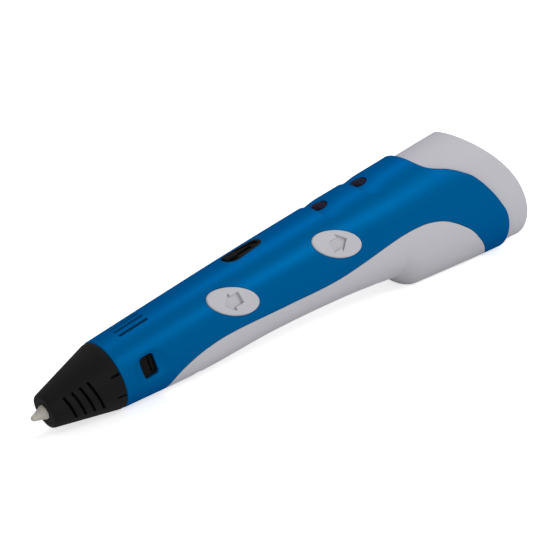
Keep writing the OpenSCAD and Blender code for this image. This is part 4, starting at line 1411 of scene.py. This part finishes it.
    def mode_cutters(self) -> list[bpy.types.Object]:
        """Makes the cutters of the mode switch's window and of the thumb scoop around it.

        Returns:
            The oval scoop and the window.
        """
        bench, tilt = self.form.bench, self.mode_tilt_deg
        window = standing("mode_window", self.mode_window(0.0), bench, self.mode_x, tilt, self.mode_span)
        long, tall, deep = self.scoop_size
        out = self.mode_floor() + deep
        rings = []
        for b in np.radians(np.linspace(180 - self.scoop_pole_deg, self.scoop_pole_deg, self.scoop_rows)):
            oval = ellipse(long * math.sin(b), tall * math.sin(b), self.scoop_around)
            rings.append(facing(self.mode_x + oval[:, 0], tilt, oval[:, 1], out + deep * math.cos(b)))
        return [ring_mesh("mode_scoop", bench.place(np.stack(rings)), closed=False), window]

    def build(self) -> bpy.types.Object:
        """Builds the cover with its openings.

        Returns:
            The cover on the bench.
        """
        bench = self.form.bench
        piece = ring_mesh("cover_shell", bench.place(self.wall_rows()), closed=True)
        cutters = [through("belly_opening", self.parting.belly_outline(), bench)]
        for spot in BUTTONS:
            long, short = spot.half_long + spot.gap, spot.half_short + spot.gap
            oval = ellipse(long, short, self.oval_around, spot.slant_deg) + np.array([0.0, spot.up])
            cutters.append(standing("button_opening", oval, bench, spot.x, spot.tilt_deg, self.cut_span))
        slide = self.teardrop(self.slide_r)
        cutters.append(standing("slide_opening", slide, bench, 0.0, RIDGE_DEG, self.cut_span))
        cutters.append(RidgeVents().cutter(bench))
        for x in self.led_x:
            cutters += self.well(x)
        carve(piece, cutters + self.mode_cutters())
        return piece

    def dress(self, finishes: Finishes) -> None:
        """Builds the cover in its blue pearl."""
        finish_piece(self.build(), finishes.get(Stock.BLUE_ABS), "housing", "cover")


@dataclass(frozen=True)
class Belly(SubAssembly):
    """White lower shell with the foot, cut out of a finely divided tube."""

    form: BodyForm
    parting: Parting
    around: int = 216
    wall: float = 2.4
    gap: float = 0.15
    front_x: float = 33.0
    rear_x: float = 171.0
    end_slack: float = 0.1
    step_x: Pair = (128.5, 139.5)
    even_step: float = 1.0
    fine_step: float = 0.25
    inner_step: float = 3.0
    hole_r: float = 2.1
    hole_around: int = 48
    hole_span: Pair = (-40.0, -6.0)

    def build(self) -> bpy.types.Object:
        """Builds the belly.

        Returns:
            The belly on the bench.
        """
        bench, angle = self.form.bench, full_turn(self.around)
        outer = [
            *np.arange(self.front_x, self.step_x[0], self.even_step),
            *np.arange(self.step_x[0], self.step_x[1], self.fine_step),
            *np.arange(self.step_x[1], self.rear_x + self.end_slack, self.even_step),
        ]
        inner = np.arange(self.rear_x, self.front_x - self.end_slack, -self.inner_step)
        rows = [self.form.point(x, angle, 0.0) for x in outer]
        rows += [self.form.point(x, angle, self.wall) for x in inner]
        piece = ring_mesh("belly_shell", bench.place(np.stack(rows)), closed=True)
        outline = grown(self.parting.belly_outline(), -self.gap)
        carve(piece, [through("belly_keep", outline, bench)], "INTERSECT")
        circle = ellipse(self.hole_r, self.hole_r, self.hole_around)
        for x, y in SCREW_PLACES:
            hole = standing("screw_hole", circle + np.array([0, -y]), bench, x, RIDGE_DEG, self.hole_span)
            carve(piece, [hole])
        return piece

    def dress(self, finishes: Finishes) -> None:
        """Builds the belly in its satin white."""
        finish_piece(self.build(), finishes.get(Stock.WHITE_ABS), "housing", "belly")


@dataclass(frozen=True)
class TailShell(SubAssembly):
    """White tail with its slanted, bowed and softly rounded rim."""

    form: BodyForm
    parting: Parting
    around: int = 192
    inset: float = 1.35
    wall: float = 1.6
    front_x: float = 142.6
    rim_guess: float = 178.0
    rim_steps: int = 6
    rows: int = 50
    roll: float = 0.6
    roll_rows: int = 5
    belly_clear: float = 2.8

    def build(self) -> bpy.types.Object:
        """Builds the tail.

        Returns:
            The tail on the bench.
        """
        bench, angle = self.form.bench, full_turn(self.around)
        rim = np.full(self.around, self.rim_guess)
        for _ in range(self.rim_steps):
            rim = self.parting.rim(self.form.point(rim, angle, self.inset)[:, 2])
        share = np.linspace(0, 1, self.rows)
        run = rim - self.roll - self.front_x
        inner = self.inset + self.wall
        edge = rolled_edge(self.roll, self.roll_rows)
        rows = [(self.front_x + run * s, self.inset) for s in share]
        rows += [(rim - short, self.inset + under) for under, short in edge[1:]]
        rows += [(rim - short, inner - over) for short, over in edge]
        rows += [(self.front_x + run * s, inner) for s in share[::-2]]
        rings = np.stack([self.form.point(x, angle, inset) for x, inset in rows])
        piece = ring_mesh("tail_shell_smooth", bench.place(rings), closed=True)
        outline = grown(self.parting.belly_outline(), self.belly_clear)
        carve(piece, [through("belly_room", outline, bench)])
        return piece

    def dress(self, finishes: Finishes) -> None:
        """Builds the tail in its satin white."""
        finish_piece(self.build(), finishes.get(Stock.WHITE_ABS), "housing", "tail_shell")


@dataclass(frozen=True)
class FeedButton(SubAssembly):
    """White oval button that follows the cover's curve, with a recessed arrow."""

    form: BodyForm
    spot: ButtonSpot
    around: int = 120
    rings: int = 26
    pole: float = 0.03
    proud: float = 0.35
    roll: float = 0.45
    roll_rows: int = 6
    under_rows: int = 9
    flange: float = 0.9
    flange_inset: float = 2.25
    foot_inset: float = 3.45
    stem_r: float = 1.5
    stem_len: float = 0.25
    arrow_tip: float = 3.5
    arrow_barb: float = 3.0
    arrow_back: float = 0.5
    shaft_half: float = 1.8
    shaft_end: float = 2.5
    arrow_depth: float = 1.0
    arrow_over: float = 5.0

    def ring(self, half_long: float, half_short: float, inset: float, drop: float = 0.0) -> Points:
        """Draws one ring of the button on the cover's face.

        Args:
            half_long: Half of its length.
            half_short: Half of its width.
            inset: How far the face is moved in.
            drop: How far the ring is then moved in along the look.

        Returns:
            Points in the pen's frame.
        """
        spot = self.spot
        flat = ellipse(half_long, half_short, self.around, spot.slant_deg)
        x, up = spot.x + flat[:, 0], spot.up + flat[:, 1]
        return facing(x, spot.tilt_deg, up, self.form.reach(x, spot.tilt_deg, up, inset) - drop)

    def arrow(self) -> Points:
        """Draws the arrow, along the pen and up across the button.

        Returns:
            The corners in order.
        """
        upper = [
            (self.arrow_tip, 0.0),
            (self.arrow_back, self.arrow_barb),
            (self.arrow_back, self.shaft_half),
            (-self.shaft_end, self.shaft_half),
        ]
        whole = upper + [(u, -v) for u, v in upper[:0:-1]]
        return np.array([(self.spot.mark.value * u, self.spot.up + v) for u, v in whole])

    def build(self) -> bpy.types.Object:
        """Builds the button.

        Returns:
            The button on the bench.
        """
        spot, bench = self.spot, self.form.bench
        long, short = spot.half_long, spot.half_short
        rows = []
        for s in np.linspace(self.pole, 1, self.rings):
            rows.append(self.ring(s * (long - self.roll), s * (short - self.roll), -self.proud))
        for drop, inward in rolled_edge(self.roll, self.roll_rows)[1:]:
            rows.append(self.ring(long - inward, short - inward, -self.proud, drop))
        rows.append(self.ring(long, short, self.flange_inset))
        rows.append(self.ring(long + self.flange, short + self.flange, self.flange_inset))
        for s in np.linspace(0, 1, self.under_rows):
            under_long = (long + self.flange) * (1 - s) + self.stem_r * s
            under_short = (short + self.flange) * (1 - s) + self.stem_r * s
            rows.append(self.ring(under_long, under_short, self.foot_inset))
        flat = ellipse(self.stem_r, self.stem_r, self.around, spot.slant_deg)
        # Both switches stand on one board, so both stems end at the level of the first.
        foot = float(self.form.reach(BUTTONS[0].x, spot.tilt_deg, 0.0, self.foot_inset))
        rows.append(facing(spot.x + flat[:, 0], spot.tilt_deg, spot.up + flat[:, 1], foot - self.stem_len))
        name = f"{spot.mark.name.lower()}_button_cap"
        piece = ring_mesh(name, bench.place(np.stack(rows)), closed=False)
        top = float(self.form.reach(spot.x, spot.tilt_deg, spot.up, -self.proud))
        span = (top - self.arrow_depth, top + self.arrow_over)
        carve(piece, [standing("arrow", self.arrow(), bench, spot.x, spot.tilt_deg, span)])
        return piece

    def dress(self, finishes: Finishes) -> None:
        """Builds the button in its satin white."""
        node = f"{self.spot.mark.name.lower()}_button"
        finish_piece(self.build(), finishes.get(Stock.WHITE_ABS), node, node)


@dataclass(frozen=True)
class SlideBezel(SubAssembly):
    """Thin black rim of the speed slide, flush with the ridge."""

    form: BodyForm
    cover: Cover
    gap: float = 0.02
    width: float = 0.15
    sink: float = 0.03
    low: float = 9.6

    def build(self) -> bpy.types.Object:
        """Builds the rim.

        Returns:
            The rim on the bench.
        """
        outer = grown(self.cover.teardrop(self.cover.slide_r), -self.gap)
        inner = grown(self.cover.teardrop(self.cover.track_r), -self.width)
        tops = [lifted(flat, self.form.roof(flat[:, 0], flat[:, 1]) - self.sink) for flat in (outer, inner)]
        rows = [lifted(outer, self.low), *tops, lifted(inner, self.low)]
        return ring_mesh("slide_bezel", self.form.bench.place(np.stack(rows)), closed=True)

    def dress(self, finishes: Finishes) -> None:
        """Builds the rim in its satin black."""
        finish_piece(self.build(), finishes.get(Stock.BLACK_ABS), "housing", None)


@dataclass(frozen=True)
class ModeSlide(SubAssembly):
    """Mode switch seen through its window: a slide with rolled edges over a black plate."""

    form: BodyForm
    cover: Cover
    slide_half: Pair = (1.35, 3.15)
    slide_off: float = -0.98
    slide_corner: float = 0.8
    slide_top: float = 0.12
    slide_t: float = 0.55
    roll: float = 0.2
    roll_rows: int = 5
    plate_gap: float = 0.05
    plate_t: float = 0.4
    stem: Pair = (0.35, 0.5)
    stem_corner: float = 0.3
    stem_low: float = 2.0
    travel: float = 1.5
    stem_gap: float = 0.2
    slot_over: float = 2.0
    slot_cut: float = 3.0

    def slide(self) -> bpy.types.Object:
        """Builds the slide with its stem.

        Returns:
            The slide on the bench.
        """
        cover, corner, round_r = self.cover, self.slide_corner, self.stem_corner
        outline = rounded(self.slide_half[0] - corner, self.slide_half[1] - corner, corner)
        stem = rounded(self.stem[0] - round_r, self.stem[1] - round_r, round_r)
        floor = cover.mode_floor()
        top = floor - self.slide_top
        levels = [(stem, floor - self.stem_low), (stem, top - self.slide_t), (outline, top - self.slide_t)]
        for inward, under in rolled_edge(self.roll, self.roll_rows):
            levels.append((grown(outline, -inward), top - under))
        x = cover.mode_x + self.slide_off
        rings = [facing(x + flat[:, 0], cover.mode_tilt_deg, flat[:, 1], out) for flat, out in levels]
        return ring_mesh("mode_slide", self.form.bench.place(np.stack(rings)), closed=False)

    def plate(self) -> bpy.types.Object:
        """Builds the plate that closes the window, with a slot for the stem.

        Returns:
            The plate on the bench.
        """
        cover, bench, corner = self.cover, self.form.bench, self.stem_corner
        x, tilt = cover.mode_x, cover.mode_tilt_deg
        top = cover.mode_floor() - self.slide_top - self.slide_t - self.plate_gap
        outline = cover.mode_window(self.plate_gap)
        piece = standing("mode_plate", outline, bench, x, tilt, (top - self.plate_t, top))
        long, tall = self.stem[0] + self.stem_gap + self.travel / 2, self.stem[1] + self.slot_over
        slot = rounded(long - corner, tall - corner, corner)
        slot += np.array([self.slide_off + self.travel / 2, 0.0])
        span = (top - self.slot_cut, top + self.slot_cut)
        carve(piece, [standing("stem_slot", slot, bench, x, tilt, span)])
        return piece

    def dress(self, finishes: Finishes) -> None:
        """Builds the slide and its plate in their satin black.

        Args:
            finishes: Where the materials come from.
        """
        black = finishes.get(Stock.BLACK_ABS)
        finish_piece(self.slide(), black, "mode_knob", "mode_knob")
        finish_piece(self.plate(), black, "housing", None)


@dataclass(frozen=True)
class LeverSpring(SubAssembly):
    """Small coil spring that the idler lever squeezes against the feed block."""

    bench: Bench
    x: float = 141.5
    z: float = -0.4
    wall_y: float = -10.27
    lever_y: float = -8.33
    coil_r: float = 0.9
    wire_r: float = 0.18
    turns: int = 3
    around: int = 24
    wire_around: int = 10
    keep: float = 0.58

    def build(self) -> bpy.types.Object:
        """Builds the coil.

        Returns:
            The spring on the bench.
        """
        steps = self.turns * self.around
        b = full_turn(self.wire_around)
        r = self.coil_r + self.wire_r * np.cos(b)
        rows = []
        for k in range(steps + 1):
            a = 2 * math.pi * k / self.around
            y = self.wall_y + (self.lever_y - self.wall_y) * k / steps + self.wire_r * np.sin(b)
            rows.append(np.stack([self.x + r * math.cos(a), y, self.z + r * math.sin(a)], axis=1))
        return ring_mesh("lever_spring_coil", self.bench.place(np.stack(rows)), closed=False)

    def foot(self) -> Vector:
        """Place where the spring stands on the feed block."""
        return Vector(self.bench.place(np.array([self.x, self.wall_y - self.wire_r, self.z])))

    def dress(self, finishes: Finishes) -> None:
        """Builds the spring in its steel.

        Args:
            finishes: Where the materials come from.
        """
        coil = self.build()
        finish_piece(coil, finishes.get(Stock.STEEL), "housing", "lever_spring")
        tuple(self.foot())
        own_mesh(coil)


@dataclass(frozen=True)
class ShellScrews(SubAssembly):
    """Screws under the belly with cross recesses. Geometry Nodes set them in their places."""

    form: BodyForm
    seat_up: float = 2.6
    pole_r: float = 0.05
    head_r: float = 1.8
    head_t: float = 1.3
    head_roll: float = 0.4
    roll_rows: int = 5
    shank_r: float = 0.95
    joint_z: float = -7.5
    bite: float = 6.0
    around: int = 40
    cross_w: float = 0.5
    cross_l: float = 2.2
    cross_t: float = 0.7
    cross_over: float = 1.0

    def screw(self, length: float) -> bpy.types.Object:
        """One screw, its head's seat at the origin and its shank along +z.

        Args:
            length: Length of the shank.

        Returns:
            The screw in millimetres.
        """
        low = -self.head_t
        profile = [(self.pole_r, low)]
        for under, inward in rolled_edge(self.head_roll, self.roll_rows):
            profile.append((self.head_r - inward, low + under))
        profile += [(self.head_r, 0.0), (self.shank_r, 0.0), (self.shank_r, length), (self.pole_r, length)]
        rings = np.stack([lifted(ellipse(r, r, self.around), z) for r, z in profile])
        screw = ring_mesh("screw", rings, closed=False)
        for long, wide in ((self.cross_l, self.cross_w), (self.cross_w, self.cross_l)):
            bar = np.array([(-long, -wide), (long, -wide), (long, wide), (-long, wide)]) / 2
            ends = [lifted(bar, z) for z in (low - self.cross_over, low + self.cross_t)]
            carve(screw, [ring_mesh("cross", np.stack(ends), closed=False)])
        return screw

    def tree(self) -> bpy.types.NodeTree:
        """Builds the tree that sets a screw on each point.

        Returns:
            Tree with the inputs Screw, Turn, Size and Finish.
        """
        inputs = {"Screw": "Object", "Turn": "Vector", "Size": "Vector", "Finish": "Material"}
        tree = new_tree("shell_screws", inputs)
        given = add_node(tree, "NodeGroupInput").outputs
        spots = add_node(tree, "GeometryNodeMeshToPoints", links={"Mesh": given["Geometry"]}).outputs[0]
        places = {"Points": spots, "Rotation": given["Turn"], "Scale": given["Size"]}
        end_tree(tree, given["Screw"], places, {"Material": given["Finish"]})
        return tree

    def build(self, finish: bpy.types.Material) -> bpy.types.Object:
        """Builds the screws.

        Args:
            finish: Material of the screws.

        Returns:
            One piece with all the screws, on the bench.
        """
        bench, tree = self.form.bench, self.tree()
        turn = (0.0, -math.radians(bench.pitch_deg), 0.0)
        points: list[tuple[float, ...]] = []
        faces: list[tuple[int, ...]] = []
        for x in sorted({place[0] for place in SCREW_PLACES}):
            beside = [y for at, y in SCREW_PLACES if at == x]
            spots = [(x, y, float(self.form.underside(x, y)) + self.seat_up) for y in beside]
            screw = self.screw(self.joint_z - spots[0][2] + self.bite)
            pair = mesh_object("shell_screw_set", bench.place(np.array(spots)), [])
            lay_out(pair, tree, {"Screw": screw, "Turn": turn, "Size": (MM, MM, MM), "Finish": finish})
            offset = len(points)
            points += [tuple(v.co) for v in pair.data.vertices]
            faces += [tuple(i + offset for i in p.vertices) for p in pair.data.polygons]
            for used in (screw, pair):
                bpy.data.objects.remove(used)
        return mesh_object("shell_screws_cross_head", np.array(points), faces)

    def dress(self, finishes: Finishes) -> None:
        """Builds the screws in their plated steel."""
        steel = finishes.get(Stock.STEEL)
        finish_piece(self.build(steel), steel, "housing", "shell_screws")


@dataclass(frozen=True)
class Lamp:
    """A soft square lamp that looks at the pen, its place as a direction in the pen's frame."""

    name: str
    toward: tuple[float, float, float]
    size_m: float
    power: float
    tint: str = "#ffffff"
    distance: float = 900.0

    def hang(self, bench: Bench, target: Sequence[float]) -> None:
        """Hangs the lamp.

        Args:
            bench: Where the pen lies.
            target: Place that it looks at, in the pen's frame.
        """
        data = bpy.data.lights.new(self.name, "AREA")
        data.color = linear(self.tint)[:3]
        data.shape = "SQUARE"
        data.size = self.size_m
        data.energy = self.power
        lamp = bpy.data.objects.new(self.name, data)
        way = bench.direction(self.toward).normalized()
        lamp.location = Vector(bench.place(np.array(target))) + way * self.distance * MM
        lamp.rotation_mode = "QUATERNION"
        lamp.rotation_quaternion = way.to_track_quat("Z", "Y")
        bpy.context.scene.collection.objects.link(lamp)


@dataclass(frozen=True)
class Studio:
    """Camera of the photo, soft lights, pale floor and white surroundings."""

    bench: Bench
    eye: tuple[float, float, float] = (-180.883, -444.4, 240.0)
    target: tuple[float, float, float] = (92.417, 0.0, -3.43)
    roll_deg: float = 31.501
    lens_mm: float = 120.66
    sensor_mm: float = 36.0
    clip_m: Pair = (0.01, 50.0)
    ambient: float = 0.36
    floor_m: float = 8.0
    floor_under: float = 0.13
    floor_paint: str = "#f2f2f2"
    floor_glow: float = 0.66
    lamps: tuple[Lamp, ...] = (
        Lamp("key_softbox", (0.475, -0.69, 0.545), 0.3, 1.9),
        Lamp("top_softbox", (0.475, 0.27, 0.837), 0.26, 1.9, "#eeeeff"),
        Lamp("fill_panel", (-0.3, -0.94, 0.12), 0.9, 2.6),
    )

    def camera(self) -> None:
        """Sets up the camera with the photo's place, lens and roll."""
        eye, target = np.array(self.eye), np.array(self.target)
        forward = (target - eye) / np.linalg.norm(target - eye)
        level = np.array([1.0, 0, 0]) - forward[0] * forward
        level /= np.linalg.norm(level)
        down = np.cross(forward, level)
        down = down if down[2] < 0 else -down
        r = math.radians(self.roll_deg)
        right = level * math.cos(r) + down * math.sin(r)
        below = down * math.cos(r) - level * math.sin(r)
        axes = [self.bench.direction(v) for v in (right, -below, -forward)]
        data = bpy.data.cameras.new("photo_camera")
        data.lens = self.lens_mm
        data.sensor_width = self.sensor_mm
        data.clip_start, data.clip_end = self.clip_m
        camera = bpy.data.objects.new("photo_camera", data)
        place = Matrix.Translation(Vector(self.bench.place(eye)))
        camera.matrix_world = place @ Matrix(axes).transposed().to_4x4()
        bpy.context.scene.collection.objects.link(camera)
        bpy.context.scene.camera = camera

    def seen(self, tree: bpy.types.NodeTree) -> bpy.types.NodeSocket:
        """Tells what is looked at from the light that falls on the pen.

        Args:
            tree: Tree that gets the nodes.

        Returns:
            Socket that is one where the camera, a reflection or a clear piece looks, and zero elsewhere.
        """
        path = add_node(tree, "ShaderNodeLightPath").outputs
        share = path["Is Camera Ray"]
        for ray in ("Is Glossy Ray", "Is Transmission Ray"):
            links = {0: share, 1: path[ray]}
            share = add_node(tree, "ShaderNodeMath", {"operation": "MAXIMUM"}, links=links).outputs[0]
        return share

    def world(self) -> None:
        """Sets up white surroundings that light the pen at a plain level."""
        world = bpy.data.worlds.new("white_surroundings")
        world.use_nodes = True
        tree = world.node_tree
        tree.nodes.clear()
        strength = add_node(
            tree,
            "ShaderNodeMapRange",
            inputs={"To Min": self.ambient, "To Max": 1.0},
            links={"Value": self.seen(tree)},
        )
        sky = add_node(
            tree,
            "ShaderNodeBackground",
            inputs={"Color": (1, 1, 1, 1)},
            links={"Strength": strength.outputs["Result"]},
        )
        add_node(tree, "ShaderNodeOutputWorld", links={"Surface": sky.outputs[0]})
        bpy.context.scene.world = world

    def floor(self) -> None:
        """Lays the pale floor, which keeps the pen's shadow."""
        half = self.floor_m / 2
        flat = np.array([(-half, -half), (half, -half), (half, half), (-half, half)])
        plane = mesh_object("floor", lifted(flat, -self.floor_under * MM), [(0, 1, 2, 3)])
        paint, tree = empty_material("floor_pale_matt")
        matt = add_node(tree, "ShaderNodeBsdfDiffuse", inputs={"Color": linear(self.floor_paint)})
        strength = add_node(tree, "ShaderNodeMath", TIMES, {1: self.floor_glow}, {0: self.seen(tree)})
        glow = add_node(tree, "ShaderNodeEmission", links={"Strength": strength.outputs[0]})
        both = add_node(tree, "ShaderNodeAddShader", links={0: matt.outputs[0], 1: glow.outputs[0]})
        add_node(tree, "ShaderNodeOutputMaterial", links={"Surface": both.outputs[0]})
        plane.data.materials.append(paint)

    def build(self) -> None:
        """Sets up the whole studio."""
        bpy.context.scene.view_settings.view_transform = "Standard"
        self.world()
        self.camera()
        self.floor()
        for lamp in self.lamps:
            lamp.hang(self.bench, self.target)


def dress_nodes(nodes: dict[str, bpy.types.Object], finishes: Finishes) -> None:
    """Gives the solids that stay in view their finishes.

    Args:
        nodes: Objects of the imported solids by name.
        finishes: Where the materials come from.
    """
    for stock, names in STOCK_NODES.items():
        for name in names:
            solid = nodes[name]
            if not solid.data.materials:
                solid.data.materials.append(None)
            for slot in solid.material_slots:
                slot.material = finishes.get(stock)
            LOG.info("%s: %s", name, stock.value.name)


def main() -> None:
    """Loads the frame, builds every sub-assembly and sets up the studio."""
    logging.basicConfig(level=logging.INFO, format="%(name)s: %(message)s")
    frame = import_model()
    finishes = Finishes()
    bench = Bench()
    form, parting = BodyForm(bench), Parting()
    dress_nodes(frame["nodes"], finishes)
    cover = Cover(form, parting)
    groups: list[SubAssembly] = [
        cover,
        Belly(form, parting),
        TailShell(form, parting),
        *(FeedButton(form, spot) for spot in BUTTONS),
        SlideBezel(form, cover),
        ModeSlide(form, cover),
        NoseCone(bench),
        NozzleTip(bench),
        ShellScrews(form),
        LeverSpring(bench),
    ]
    for group in groups:
        group.dress(finishes)
    Studio(bench).build()


if __name__ == "__main__":
    main()
